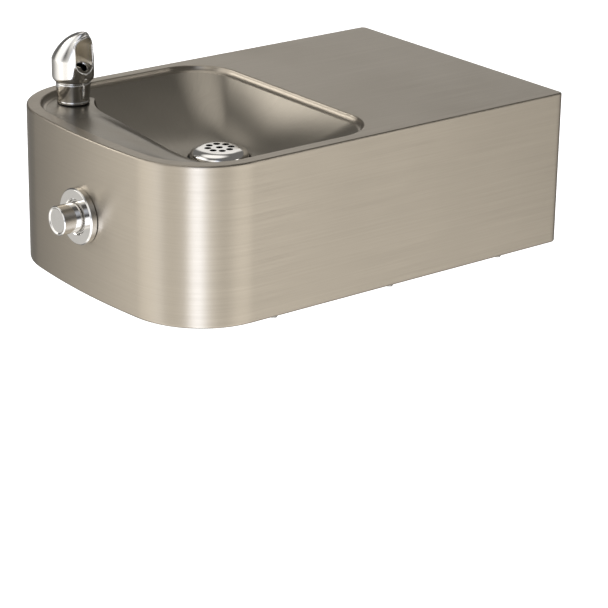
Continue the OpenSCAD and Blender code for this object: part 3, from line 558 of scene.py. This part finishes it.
def moulded(name, rgb, roughness, bump=0.15, see=0.0):
    """Rubber or plastic: fine moulded grain and slow changes of tone; see is the share of light let through."""
    material, tree, shader = new_material(name)
    where = add(tree, "ShaderNodeTexCoord", {})
    grain = add(tree, "ShaderNodeTexNoise", {"Vector": where.outputs["Object"], "Scale": 900.0, "Detail": 3.0})
    grain = grain.outputs["Fac"]
    tone = mixed(tree, marks_on(tree, where, 40.0), rgb, times(rgb, 1.25, 0.01))
    feed(tree, shader, {"Base Color": tone, "Normal": bumped(tree, grain, bump, 0.0003),
                        "Roughness": calc(tree, "MULTIPLY_ADD", grain, 0.12, roughness - 0.06)})
    if see:
        feed(tree, shader, {"Transmission Weight": see, "IOR": 1.45})
    return material


def finish_of(key):
    """The named finish, built once; the solids bring materials whose names are the bare keys."""
    made = bpy.data.materials.get(key + " finish")
    if made:
        return made
    f = bpy.context.scene.fountain_finish
    steel, bowl, chrome = tuple(f.steel), tuple(f.bowl), tuple(f.chrome)
    build = {
        "body_steel": lambda: brushed(key, steel, f.steel_gloss, f.brush, anisotropy=0.85),
        "basin_steel": lambda: brushed(key, bowl, f.steel_gloss + 0.03, f.brush * 0.8, anisotropy=0.55,
                                       stretch=22.0),
        "plain_steel": lambda: brushed(key, (0.42, 0.41, 0.39), 0.42, 0.3),
        "polished_chrome": lambda: polished(key, chrome, f.chrome_gloss),
        # near-black hidden side of the strainer and nozzle: painted shade in their hollows and holes, with a rougher
        # finish
        "strainer_chrome": lambda: polished(key, times(chrome, 1.22), 0.1, inside=((0.012, 0.011, 0.01), 0.5)),
        "hood_chrome": lambda: polished(key, chrome, 0.1, inside=((0.88, 0.83, 0.74), 0.42)),
        "waste_dark": lambda: polished(key, (0.03, 0.029, 0.027), 0.5),
        "satin_chrome": lambda: polished(key, chrome, 0.3, scratch=0.06),
        "pipe_chrome": lambda: polished(key, times(chrome, 0.92), 0.14),
        "brass": lambda: polished(key, (0.62, 0.44, 0.16), 0.28, scratch=0.08),
        "black_rubber": lambda: moulded(key, (0.018, 0.018, 0.019), 0.62),
        "grey_plastic": lambda: moulded(key, (0.06, 0.06, 0.065), 0.45),
        "white_plastic": lambda: moulded(key, (0.62, 0.62, 0.6), 0.42),
        "clear_plastic": lambda: moulded(key, (0.7, 0.76, 0.78), 0.2, bump=0.05, see=0.6),
    }[key]
    made = build()
    made.name = key + " finish"
    return made


def dress(piece, key, body="fountain", nodes=()):
    """Gives a new piece its finish, slot, body and the CAD nodes that it stands for."""
    piece.data.materials.clear()
    piece.data.materials.append(finish_of(key))
    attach(piece, body)
    if nodes:
        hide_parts(*nodes)
    return piece


# Pieces

BACK_HOLES = (
    # x, z and radius of the holes in the back: four bolts, waste pipe, water tube, air tube
    (-127.0, -50.0, 5.5), (-127.0, 50.0, 5.5), (127.0, -50.0, 5.5), (127.0, 50.0, 5.5),
    (0, -47.5, 21.275), (-115.0, 27.656, 8.76), (79.5, 0, 8.76),
)
BUTTON_HOLE = 17.6  # radius


class FOUNTAIN_OT_body(bpy.types.Operator):
    """Sheet body: small wall of the basin, deck, rolled edge, side and bottom flange as one skin"""
    bl_idname = "fountain.body"
    bl_label = "Body"

    def execute(self, context):
        s, b = context.scene.fountain_body, context.scene.fountain_basin
        top, base = mm(s.height) / 2, -mm(s.height) / 2
        edge, sheet, drop = mm(s.edge), mm(s.sheet), mm(b.drop)
        lip, fold = 1.8, 2.4  # radii of the basin's rolled rim and of the bend into the bottom flange
        # the section runs from under the crease, up the small wall, over the deck and down the side: outline, part of
        # the brush map, inset and height of each ring
        wall = ((CREASE + 0.6, -drop - 0.5), (CREASE, -drop), (CREASE - 0.9, 0.3 - drop), (3.0, 0.75 - drop),
                (2.1, 1.4 - drop), (1.4, 2.2 - drop), (0.8, -3.0), (0.35, -2.0))
        section = [("basin", "wall", inset, top + z) for inset, z in wall]
        section += [("basin", "wall" if a < 0.7 else "deck", 0.35 - lip * (1 - np.cos(a * QUARTER)) * 1.15,
                     top - 2.0 + 2.0 * np.sin(a * QUARTER)) for a in np.linspace(0.25, 1.0, 7)]
        section += [("basin", "deck", inset, top) for inset in (-2.2, -3.0)]
        section += [("body", "deck", inset, top) for inset in (edge + 0.4, edge)]
        section += [("body", "deck" if a < 0.45 else "side", edge * (1 - np.sin(a * QUARTER)),
                     top - edge * (1 - np.cos(a * QUARTER))) for a in np.linspace(0, 1, 8)[1:]]
        section += [("body", "side", 0, z)
                    for z in (top - edge - 0.4, top - 30, 0, base + 30, base + fold + 0.4, base + fold)]
        section += [("body", "side", fold * (1 - np.cos(a * QUARTER)), base + fold * (1 - np.sin(a * QUARTER)))
                    for a in np.linspace(0, 1, 7)[1:]]
        section += [("body", "side", inset, base) for inset in (fold + 0.5, mm(s.flange))]
        rings = []
        for outline, _, inset, z in section:
            plan = plan_outline(basin_plan(s, b, inset) if outline == "basin" else body_plan(s, inset))
            rings.append(np.column_stack([plan, np.full(len(plan), z)]))
        grid = np.array(rings)
        closed = np.concatenate([grid, grid[:, :1]], 1)
        # brush map: the deck as seen from above, the rest by length round the rolled edge and length down the section
        round_row, down_column, side_start = 24, 60, 500.0
        around = lengths(closed[round_row, :, :2])
        down = lengths(grid[:, down_column])
        wrapped = np.stack(np.broadcast_arrays(down[:, None] + side_start, around[None]), -1)
        is_deck = np.array([part == "deck" for _, part, _, _ in section])[:, None, None]
        shell = grid_mesh("body_skin", grid, np.where(is_deck, closed[..., :2], wrapped) * MM, wrap=True, flip=True)
        wall = shell.modifiers.new("sheet", "SOLIDIFY")
        wall.thickness, wall.offset, wall.use_even_offset = sheet * MM, -1.0, False
        cutters = [drill(radius, -8, 8, 96, frame_at(x, 0, z, "Y")) for x, z, radius in BACK_HOLES]
        bake(shell, *cutters, drill(BUTTON_HOLE, -6, 6, 128, frame_at(0, -mm(s.reach), 0, "Y")))
        dress(shell, "body_steel", nodes=("apron", "deck"))
        return {"FINISHED"}


class FOUNTAIN_OT_basin(bpy.types.Operator):
    """Pressed basin with its swirl shelf and drain recess"""
    bl_idname = "fountain.basin"
    bl_label = "Basin"

    def execute(self, context):
        s, b, h = context.scene.fountain_body, context.scene.fountain_basin, context.scene.fountain_bubbler
        crease_z = mm(s.height) / 2 - mm(b.drop)
        drain_y, drain_r, depth = -mm(b.drain), mm(b.drain_radius), mm(b.depth)
        far = np.hypot(mm(h.left), mm(h.out) - mm(b.drain)) + mm(h.neck)
        # Rings by the share of the way from the drain to the crease, rays by the turn from the ridge in degrees. The
        # ridge is the line that touches the drain's ring and swings out by flare degrees near the crease.
        # Both lie closer where the surface bends.
        turn = np.interp(np.arange(353), (0, 24, 293, 353), (0, 8, 345, 360))
        sh, tn = np.interp(np.arange(90), (0, 8, 81, 89), (0, 0.08, 0.97, 1))[:, None], turn[None]
        ridge_way, flare = 299.0, 12.0
        ring_r = drain_r + (far - drain_r) * sh
        ridge = ridge_way - np.degrees(np.arccos(np.minimum(1, drain_r / ring_r))) - flare * ease(0.6, 0.82, sh)
        angle = np.radians(ridge + tn)
        out = reach(basin_plan(s, b, CREASE), drain_y, angle)
        radius = drain_r + (out - drain_r) * sh
        # Fall below the crease as a share of the depth: on the shelf's side a straight ramp that runs out at the share
        # shelf with a rounding, in the deep part 1 - share ^ power; the one goes over into the other from 35 to 150
        # degrees of turn.
        shelf, rounding, power = 0.64, 0.09, 1.6
        ramp = 1 - sh / shelf
        ramp = 0.5 * (ramp + np.sqrt(ramp * ramp + rounding ** 2))
        ramp = ramp / ramp[0] * ease(1.0, 0.86, sh)
        deep = 1 - sh ** power
        keep = 1 - ease(35, 150, tn)
        # back at the ridge the fall turns over a crest and a wall that are as wide in millimetres at every radius
        turned = np.degrees((mm(b.crest) + 3.2) / np.maximum(radius, 20))
        keep = np.maximum(keep, 1 - ease(0, 1, (360 - tn) / turned))
        z = crease_z - depth * (deep + (ramp - deep) * keep)
        bowl = np.stack([radius * np.cos(angle), drain_y + radius * np.sin(angle), z], -1)
        # the pad swells as a bell curve 30 mm wide round the foot of the bubbler
        away = np.hypot(bowl[..., 0] + mm(h.left), bowl[..., 1] + mm(h.out))
        edge = ease(1.0, 0.9, sh) * keep
        bowl[..., 2] += mm(b.pad) * (np.exp(-(away / 30) ** 2) - 1) * ease(60, 30, away) * edge
        # roll into the drain recess, its wall and its floor: radius and fall of each ring
        recess = ((22.2, 5.0), (30.0, 5.0), (30.6, 4.9), (31.0, 4.4), (31.0, 1.1), (31.2, 0.5), (31.6, 0.1))
        inner = [np.column_stack([r * np.cos(angle[0]), drain_y + r * np.sin(angle[0]), bowl[0, :, 2] - fall])
                 for r, fall in recess]
        grid = np.concatenate([np.array(inner), bowl])
        # brush map: along the rings at one radius, across them by the mean radius
        map_radius = 95.0
        v = np.concatenate([np.linspace(20, 31.6, len(inner)), radius.mean(1)])
        u, v = np.meshgrid(np.radians(np.append(turn, 360.0)) * map_radius, v)
        bowl = grid_mesh("basin_bowl", grid, np.stack([u, v], -1) * MM, wrap=True, flip=True)
        wall = bowl.modifiers.new("sheet", "SOLIDIFY")
        wall.thickness, wall.offset = mm(s.sheet) * MM, -1.0
        bake(bowl, drill(8.9, -12, 12, 64, frame_at(-mm(h.left), -mm(h.out), crease_z)), angle=40)
        dress(bowl, "basin_steel", nodes=("basin",))
        return {"FINISHED"}


class FOUNTAIN_OT_bubbler(bpy.types.Operator):
    """Hooded bubbler: neck, hood, window with its bezel, nozzle and seal"""
    bl_idname = "fountain.bubbler"
    bl_label = "Bubbler"

    def execute(self, context):
        s, b, h = context.scene.fountain_body, context.scene.fountain_basin, context.scene.fountain_bubbler
        tall, neck, head = mm(h.height), mm(h.neck), mm(h.head)
        place = frame_at(-mm(h.left), -mm(h.out), mm(s.height) / 2 - mm(b.drop) + SEAL, roll=6.0)
        # heights of the groove under the hood, of its widest place and of the start of the dome
        groove, wide, spring = 20.4, 27.4, 0.6 * tall
        foot = neck - 1.6
        low = rounded([(0.5, -36), (8.5, -36), (8.5, -0.6), (foot + 0.5, -0.6), (foot + 0.4, 0.8), (foot, 2),
                       (neck, groove - 1.6), (neck - 0.2, groove - 0.5), (neck - 1.3, groove),
                       (neck - 1.3, groove + 0.7)],
                      [0.6, 0, 0.3, 0.3, 0.6, 2, 0.5, 0.3, 0.2], 4)
        low = np.pad(held(low), ((0, 0), (0, 1)))
        t = np.linspace(0, 1, ARCH + 1)[1:] * QUARTER
        shoulder = np.column_stack([neck - 1.3 + (head - neck + 1.3) * np.sin(t) ** 0.8,
                                    groove + 0.7 + (wide - groove - 0.7) * (1 - np.cos(t)), 0 * t])
        side = np.column_stack([np.full(5, head), np.linspace(wide, spring, 6)[1:], np.zeros(5)])
        # dome: the circle shrinks as a cosine while it rises, and leans so that the front stays upright
        t = np.linspace(0, 1, 44)[1:-1]
        r = head * np.cos(t * QUARTER)
        dome = np.column_stack([r, spring + (tall - spring) * np.sin(t * QUARTER) ** (5 / 3),
                                (head - r) * (1 - 0.2 * t ** 10)])
        tip = np.array([[0.02, tall, head * 0.8]])
        rings = np.concatenate([low, shoulder, side, dome, tip])
        a = np.arange(160) / 160 * TAU
        grid = np.stack([rings[:, 2:3] + rings[:, :1] * np.cos(a), rings[:, :1] * np.sin(a),
                         np.repeat(rings[:, 1:2], 160, 1)], -1)
        hood = grid_mesh("bubbler_hood", placed(grid, place), wrap=True, ends=(True, True))
        # cutter of the window: an arched section that swells from a rounded back, over a floor that slopes down
        w = mm(h.window) / 2
        z0, z1 = mm(h.sill) + w, mm(h.crown) - w
        q = np.arange(96) / 96 * TAU
        oval = np.stack([w * np.cos(q), np.where(np.sin(q) > 0, z1 - z0, 0) + w * np.sin(q)], -1)
        middle = (z1 - z0) / 2
        back = np.linspace(0.05, 1, ARCH) * QUARTER
        behind, bulge, front = 9, 8, 34  # the back's place behind the axis, its depth, and a place clear of the hood
        x = np.concatenate([bulge * (1 - np.cos(back)) - behind, [8, front]])
        f = np.concatenate([np.sqrt(np.sin(back)), [1, 1]])[:, None]
        floor = 43.0 - 0.2 * x[:, None]
        cut = np.stack([x[:, None] + 0 * q, f * oval[None, :, 0],
                        np.maximum(z0 + middle + f * (oval[None, :, 1] - middle), floor)], -1)
        window = grid_mesh("window", placed(cut, place), wrap=True, ends=(True, True))
        tilt = place @ Matrix.Translation((5.6, 0, 26.6)) @ Matrix.Rotation(np.radians(38), 4, "Y")
        bake(hood, window, drill(7.4, 2, 30, 96, tilt), angle=38)
        at = points_of(hood, place)
        keep = slice(len(low), None)
        skin, lean = (np.interp(at[:, 2], rings[keep, 1], rings[keep, i]) for i in (0, 2))
        mark_inside(hood, np.where(at[:, 2] > groove + 1, skin - np.hypot(at[:, 0] - lean, at[:, 1]), 0))
        dress(hood, "hood_chrome", nodes=("bubbler_head",))
        # thin seal that the foot presses almost flat
        seal = spun("foot_seal", rounded([(9, -1.2), (foot + 0.1, -1.2), (foot + 0.1, -0.6), (9, -0.6), (9, -1.2)],
                                         [0.1, 0.1, 0.1], 3), 96, place)
        dress(seal, "black_rubber", nodes=("bubbler_gasket",))
        # bezel along the window: the oval laid on the hood, with a flat oval section
        grow = 1.0 + 0.9 / w
        y, z = oval[:, 0] * grow, z0 + middle + (oval[:, 1] - middle) * grow
        upper = np.concatenate([[(head, wide, 0)], rings[len(low) + ARCH:]])
        rad, mid = (np.interp(z, upper[:, 1], upper[:, i]) for i in (0, 2))
        xs = mid + np.sqrt(np.maximum(rad ** 2 - y ** 2, 1.0))
        path = np.stack([xs, y, z], -1)
        along = unit(np.roll(path, -1, 0) - np.roll(path, 1, 0))
        side = np.cross(along, unit(np.stack([xs - mid, y, 0.35 * np.maximum(z - spring, 0)], -1)))
        face = np.cross(side, along)
        bead = mm(h.lip)
        ring = swept(path - 0.1 * bead * face, side, face, 1.25 * bead, 0.75 * bead, 20).swapaxes(0, 1)
        ring = np.concatenate([ring, ring[:1]])
        lip = grid_mesh("window_bead", placed(ring, place), wrap=True)
        dress(lip, "polished_chrome")
        # nozzle: turned cup tilted towards the window, with a rolled lip
        profile = rounded([(2.2, 2.2), (6.9, 2.2), (6.9, 13.2), (6.4, 14.2), (5.9, 14.2), (5.3, 13.2), (4.9, 9.0),
                           (2.2, 7.4), (2.2, 2.2)], [0.1, 0.5, 0.4, 0.3, 0.4, 1.5, 0.3], 4)
        nozzle = spun("stream_nozzle", held(profile), 96, tilt)
        at = points_of(nozzle, tilt)
        # mask of the cup's inside, which the finish paints near black: painted shade in the nozzle's bore
        mark_inside(nozzle, np.minimum(13.6 - at[:, 2], 5.6 - np.hypot(at[:, 0], at[:, 1])) * 2)
        dress(nozzle, "strainer_chrome", nodes=("bubbler_nozzle",))
        return {"FINISHED"}


class FOUNTAIN_OT_button(bpy.types.Operator):
    """Push button: ring, stepped collar, knob and return spring"""
    bl_idname = "fountain.button"
    bl_label = "Push button"

    def execute(self, context):
        s, k = context.scene.fountain_body, context.scene.fountain_button
        place = frame_at(0, -mm(s.reach), 0, "Y")
        ring, tall, knob, out = mm(k.ring), mm(k.ring_height), mm(k.knob), mm(k.knob_out)
        # profiles by radius and distance behind the front of the body; minus is in front of it
        profile = rounded([(21.9, -1.2), (21.9, -0.1), (ring, -0.1), (ring, -tall + 1.3), (ring - 1.2, -tall),
                           (18.0, -tall), (17.0, -tall + 0.8), (16.6, -4.5), (21.9, -4.5), (21.9, -1.2)],
                          [0.1, 0.3, 0.5, 0.5, 0.4, 0.7, 0.2, 0.1], 5)
        collar = spun("button_ring", held(profile), 192, place, flip=True)
        dress(collar, "polished_chrome", nodes=("escutcheon",))
        profile = rounded([(14.6, 13.9), (14.6, -4.6), (15.0, -4.9), (15.9, -4.9), (16.2, -4.6), (16.2, -4.3),
                           (17.2, -4.3), (17.2, 22), (12.1, 22), (12.1, 18.1), (5.06, 18.1), (5.06, 13.9),
                           (14.6, 13.9)],
                          [0.2, 0.2, 0.2, 0.1, 0.1, 0.1, 0.3, 0.3, 0.2, 0.2, 0.1], 3)
        sleeve = spun("button_collar", held(profile), 160, place)
        dress(sleeve, "polished_chrome", nodes=("button_sleeve",))
        # knob from the pole of its face outwards and back to the pole of its stem
        face = np.column_stack([11.6 * np.linspace(0, 1, 9), np.full(9, 1.0 - out)])
        profile = np.concatenate([face, rounded(
            [(11.6, 1.0 - out), (12.3, 0.35 - out), (12.9, -out), (13.7, -out), (knob, 0.9 - out), (knob, 8.6),
             (11.28, 8.6), (11.28, -21.5), (5, -21.5), (5, 36), (0.02, 36)],
            [0.5, 0.5, 0.3, 0.6, 0.4, 0.4, 0.6, 0.6, 0.3], 5)[1:]])
        profile[0, 0] = 0.02
        push = spun("push_cap", held(profile), 160, place)
        dress(push, "polished_chrome", body="button", nodes=("push_knob",))
        # return spring: a round wire along an even helix that fills the box of the CAD spring
        lo, hi = (np.array(v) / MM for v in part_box("return_spring"))
        wire, curls, travel = 0.8, 8, 5.0
        mean, run = (hi[0] - lo[0]) / 2 - wire, hi[1] - lo[1] - 2 * wire
        u = np.linspace(0, 1, 641)
        out_way = np.stack([np.cos(TAU * curls * u), 0 * u, np.sin(TAU * curls * u)], -1)
        core = mean * out_way + (lo[1] + wire + run * u)[:, None] * [0, 1, 0]
        coil = swept(core, out_way, np.cross(unit(np.gradient(core, axis=0)), out_way), wire, wire, 16)
        spring = grid_mesh("spring_wire", coil, wrap=True, ends=(True, True))
        dress(spring, "satin_chrome", nodes=("return_spring",))
        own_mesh(spring)
        return {"FINISHED"}


class FOUNTAIN_OT_strainer(bpy.types.Operator):
    """Domed strainer with its nine holes"""
    bl_idname = "fountain.strainer"
    bl_label = "Strainer"

    def execute(self, context):
        b, w = context.scene.fountain_basin, context.scene.fountain_waste
        place = frame_at(0, -mm(b.drain), STRAINER_Z)
        r, tall = mm(w.strainer), mm(w.dome)
        flat, skin = 0.6 * r, 1.2
        # the flank is a quarter of an ellipse that falls from the flat top to a short upright rim
        t = np.linspace(0, 1, 25) * QUARTER
        flank = np.column_stack([flat + (r - flat) * np.sin(t), tall * (0.3 + 0.7 * np.cos(t))])
        inner = flank[::-1] - skin * np.column_stack([np.sin(t), np.cos(t)])[::-1]
        profile = np.concatenate([[(0.02, tall)], [(k, tall) for k in (6, 12, flat - 0.3)], flank,
                                  [(r, 0.25), (r - 0.25, 0), (r - skin + 0.2, 0), (r - skin, 0.25)], inner,
                                  [(0.02, tall - skin)]])
        dome = spun("strainer_dome", profile[::-1], 192, place)
        # one hole in the middle and eight round it
        spots = [(0, 0)] + [(11.8 * np.cos(a), 11.8 * np.sin(a)) for a in (np.arange(8) + 0.5) / 8 * TAU]
        bake(dome, *(drill(3.54, -4, 16, 40, frame_at(x, y - mm(b.drain), STRAINER_Z)) for x, y in spots), angle=38)
        at = points_of(dome, place)
        out = np.hypot(at[:, 0], at[:, 1])
        outer = np.where(out < flat, tall,
                         tall * (0.3 + 0.7 * np.sqrt(np.clip(1 - ((out - flat) / (r - flat)) ** 2, 0, 1))))
        # mask of the underside and hole walls, which the finish paints near black: painted shade under the dome and in
        # the holes
        mark_inside(dome, outer - at[:, 2])
        dress(dome, "strainer_chrome", nodes=("strainer",))
        return {"FINISHED"}


class FOUNTAIN_OT_outlets(bpy.types.Operator):
    """Smooth waste pipe and water tube behind the wall plane"""
    bl_idname = "fountain.outlets"
    bl_label = "Outlets"

    def execute(self, context):
        for node, key, wall in (("waste_arm", "pipe_chrome", 1.2), ("water_tube", "white_plastic", 1.587)):
            lo, hi = (np.array(v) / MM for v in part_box(node))
            x, _, z = (lo + hi) / 2
            r, n = (hi[0] - lo[0]) / 2, hi[1] - lo[1]
            profile = rounded([(r - wall, 0.0), (r, 0), (r, n), (r - wall, n), (r - wall, 0)], [0.3, 0.3, 0.3], 3)
            tube = spun(f"{node}_skin", held(profile), 96, frame_at(x, lo[1], z, "Y"))
            dress(tube, key, nodes=(node,))
        return {"FINISHED"}


CAD_FINISHES = {
    "plain_steel": ("back_carrier", "bottom_cover", "cover_screws", "weld_nuts", "bubbler_washer", "button_washer",
                    "stem_clip", "piston_screw", "waste_washer"),
    "waste_dark": ("waste_body",),
    "pipe_chrome": ("slip_nuts", "waste_bend"),
    "brass": ("bubbler_nut", "button_nut", "waste_nut"),
    "black_rubber": ("button_gasket", "back_grommets", "piston_ring", "waste_gasket"),
    "grey_plastic": ("tube_elbow", "air_cylinder", "air_barb"),
    "white_plastic": ("elbow_collet", "air_piston", "slip_washers"),
    "clear_plastic": ("air_tube",),
}


class FOUNTAIN_OT_fixings(bpy.types.Operator):
    """Finishes of the fixings and works whose CAD shape stays"""
    bl_idname = "fountain.fixings"
    bl_label = "Fixings"

    def execute(self, context):
        for key, nodes in CAD_FINISHES.items():
            for node in nodes:
                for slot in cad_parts[node].material_slots:
                    slot.material = finish_of(key)
        return {"FINISHED"}


# Studio: camera at the photograph's angle, pale floor, soft light round the fountain

AZIMUTH_LIGHT = (
    # azimuth, light near the horizon and below it, coolness
    (-180, 0.3, 0), (-163, 0.42, 0), (-150, 0.7, 0), (-133, 1.2, 0), (-113, 1.65, 0), (-98, 2.0, 0.2),
    (-91, 1.85, 0.2), (-86, 1.5, 0), (-68, 1.5, 0), (-58, 1.7, 0.2), (-49, 3.5, 0.8), (-40, 3.9, 1), (-34, 3.2, 0.8),
    (-26, 2.2, 0.3), (-12, 1.6, 0), (-2, 1.5, 0), (16, 2.05, 0), (30, 1.95, 0), (42, 1.6, 0), (52, 0.6, 0),
    (90, 0.3, 0), (130, 0.5, 0), (180, 0.3, 0),
)
DOME_LIGHT = 0.17
SOFT_BOXES = (
    # azimuth, elevation, inner and outer half angle, strength
    (-147, 26, 4, 11, 3.7),
    (-122, 22, 14, 40, 1.5),
    (-60, 26, 10, 30, 1.1),
    (142, 21, 7, 19, 0.78),
    (141, 38, 3, 10, 0.5),
    (40, 24, 4, 9, 2.2),
    (180, 72, 12, 27, 1.1),
)


def smooth_range(tree, value, low, high, top):
    """Smooth step of a socket from 0 at low to top at high."""
    return add(tree, "ShaderNodeMapRange", {"Value": value, "From Min": low, "From Max": high, "To Max": top},
               interpolation_type="SMOOTHSTEP").outputs[0]


def studio_world(strength):
    """Light by direction: a ring of brighter and dimmer stretches near the horizon, an even dome above it and soft
    boxes; white where the camera looks straight at it."""
    brightest = 4.0  # value of a white stop of the ramp
    horizon, dome = -0.22, 0.12  # sines of the elevations between which the ring fades into the dome
    warm, cool = (1.0, 0.985, 0.96), (0.97, 1.04, 1.2)
    world = bpy.data.worlds.new("studio")
    bpy.context.scene.world = world
    world.use_nodes = True
    tree = world.node_tree
    tree.nodes.clear()
    way = add(tree, "ShaderNodeTexCoord", {}).outputs["Generated"]
    xyz = add(tree, "ShaderNodeSeparateXYZ", {0: way})
    turn = calc(tree, "ADD", calc(tree, "DIVIDE", calc(tree, "ARCTAN2", xyz.outputs[1], xyz.outputs[0]), TAU), 0.5)
    ramp = add(tree, "ShaderNodeValToRGB", {"Fac": turn})
    stops = ramp.color_ramp.elements
    while len(stops) < len(AZIMUTH_LIGHT):
        stops.new(0.5)
    for stop, (az, value, coolness) in zip(stops, AZIMUTH_LIGHT):
        stop.position = az / 360 + 0.5
        stop.color = (*[value / brightest] * 3, coolness)
    ramp.color_ramp.interpolation = "LINEAR"
    band = calc(tree, "MULTIPLY", ramp.outputs["Color"], brightest)
    rise = smooth_range(tree, xyz.outputs[2], horizon, dome, 1.0)
    level = calc(tree, "MULTIPLY_ADD", band, calc(tree, "SUBTRACT", 1.0, rise),
                 calc(tree, "MULTIPLY", rise, DOME_LIGHT))
    for *angles, power in SOFT_BOXES:
        az, el, inner, outer = np.radians(angles)
        middle = (np.cos(az) * np.cos(el), np.sin(az) * np.cos(el), np.sin(el))
        near = add(tree, "ShaderNodeVectorMath", {0: way, 1: middle}, operation="DOT_PRODUCT").outputs["Value"]
        level = calc(tree, "ADD", level, smooth_range(tree, near, np.cos(outer), np.cos(inner), power))
    light = add(tree, "ShaderNodeBackground", {"Strength": calc(tree, "MULTIPLY", level, strength),
                                               "Color": mixed(tree, ramp.outputs["Alpha"], warm, cool)})
    plain = add(tree, "ShaderNodeBackground", {"Strength": 1.0, "Color": (1, 1, 1, 1)})
    seen = add(tree, "ShaderNodeLightPath", {}).outputs["Is Camera Ray"]
    both = add(tree, "ShaderNodeMixShader", {0: seen, 1: light.outputs[0], 2: plain.outputs[0]})
    add(tree, "ShaderNodeOutputWorld", {"Surface": both.outputs[0]})


class FOUNTAIN_OT_stage(bpy.types.Operator):
    """Camera, pale floor and soft light"""
    bl_idname = "fountain.stage"
    bl_label = "Stage"

    def execute(self, context):
        scene, studio = context.scene, context.scene.fountain_studio
        lens, distance, half_pixel = 146.207, 2489.96, 0.504
        target = np.array([55.009, -246.621, -125.68])
        data = bpy.data.cameras.new("camera")
        data.sensor_width, data.lens = 36.0, lens
        data.clip_start, data.clip_end = 0.05, 200.0
        camera = bpy.data.objects.new("camera", data)
        scene.collection.objects.link(camera)
        az, el, roll = np.radians((51.6527, 21.098, 0.8746))
        forward = np.array([-np.sin(az) * np.cos(el), np.cos(az) * np.cos(el), -np.sin(el)])
        right = np.array([np.cos(az), np.sin(az), 0.0])
        up = np.cross(right, forward)
        right, up = right * np.cos(roll) + up * np.sin(roll), up * np.cos(roll) - right * np.sin(roll)
        middle = target + (up - right) * half_pixel - forward * distance
        place = Matrix(np.column_stack([right, up, -forward, middle * MM])).to_4x4()
        camera.matrix_world = place
        scene.camera = camera
        scene.view_settings.view_transform = "Standard"
        scene.view_settings.look = "None"

        half = 30000
        x, y = np.meshgrid(np.linspace(-half, half, 13), np.linspace(-half, half, 13))
        floor = grid_mesh("floor", np.stack([x, y, np.full_like(x, -mm(studio.drop))], -1))
        material, tree, shader = new_material("pale_floor")
        feed(tree, shader, {"Base Color": (0.9, 0.9, 0.9, 1), "Roughness": 0.9, "Specular IOR Level": 0.1,
                            "Emission Color": (1, 1, 1, 1), "Emission Strength": 1.0})
        floor.data.materials.append(material)
        floor.visible_glossy = False

        studio_world(studio.light)
        return {"FINISHED"}


class FOUNTAIN_PT_panel(bpy.types.Panel):
    """Buttons and settings of the fountain."""
    bl_label = "Fountain"
    bl_idname = "FOUNTAIN_PT_panel"
    bl_space_type = "VIEW_3D"
    bl_region_type = "UI"
    bl_category = "Fountain"

    def draw(self, context):
        for operator in OPERATORS:
            self.layout.operator(operator.bl_idname)
        for key, group in SETTINGS.items():
            box = self.layout.box()
            box.label(text=group.__doc__)
            for name in group.__annotations__:
                box.prop(getattr(context.scene, key), name)


OPERATORS = (
    FOUNTAIN_OT_body, FOUNTAIN_OT_basin, FOUNTAIN_OT_bubbler, FOUNTAIN_OT_button, FOUNTAIN_OT_strainer,
    FOUNTAIN_OT_outlets, FOUNTAIN_OT_fixings, FOUNTAIN_OT_stage,
)


def register():
    for group in SETTINGS.values():
        bpy.utils.register_class(group)
    for key, group in SETTINGS.items():
        setattr(bpy.types.Scene, key, PointerProperty(type=group))
    for item in (*OPERATORS, FOUNTAIN_PT_panel):
        bpy.utils.register_class(item)


def unregister():
    for item in (FOUNTAIN_PT_panel, *reversed(OPERATORS)):
        bpy.utils.unregister_class(item)
    for key, group in SETTINGS.items():
        delattr(bpy.types.Scene, key)
        bpy.utils.unregister_class(group)


def main():
    register()
    for operator in OPERATORS:
        family, name = operator.bl_idname.split(".")
        if getattr(getattr(bpy.ops, family), name)() != {"FINISHED"}:
            raise RuntimeError(f"{operator.bl_label} didn't finish")


if __name__ == "__main__":
    main()
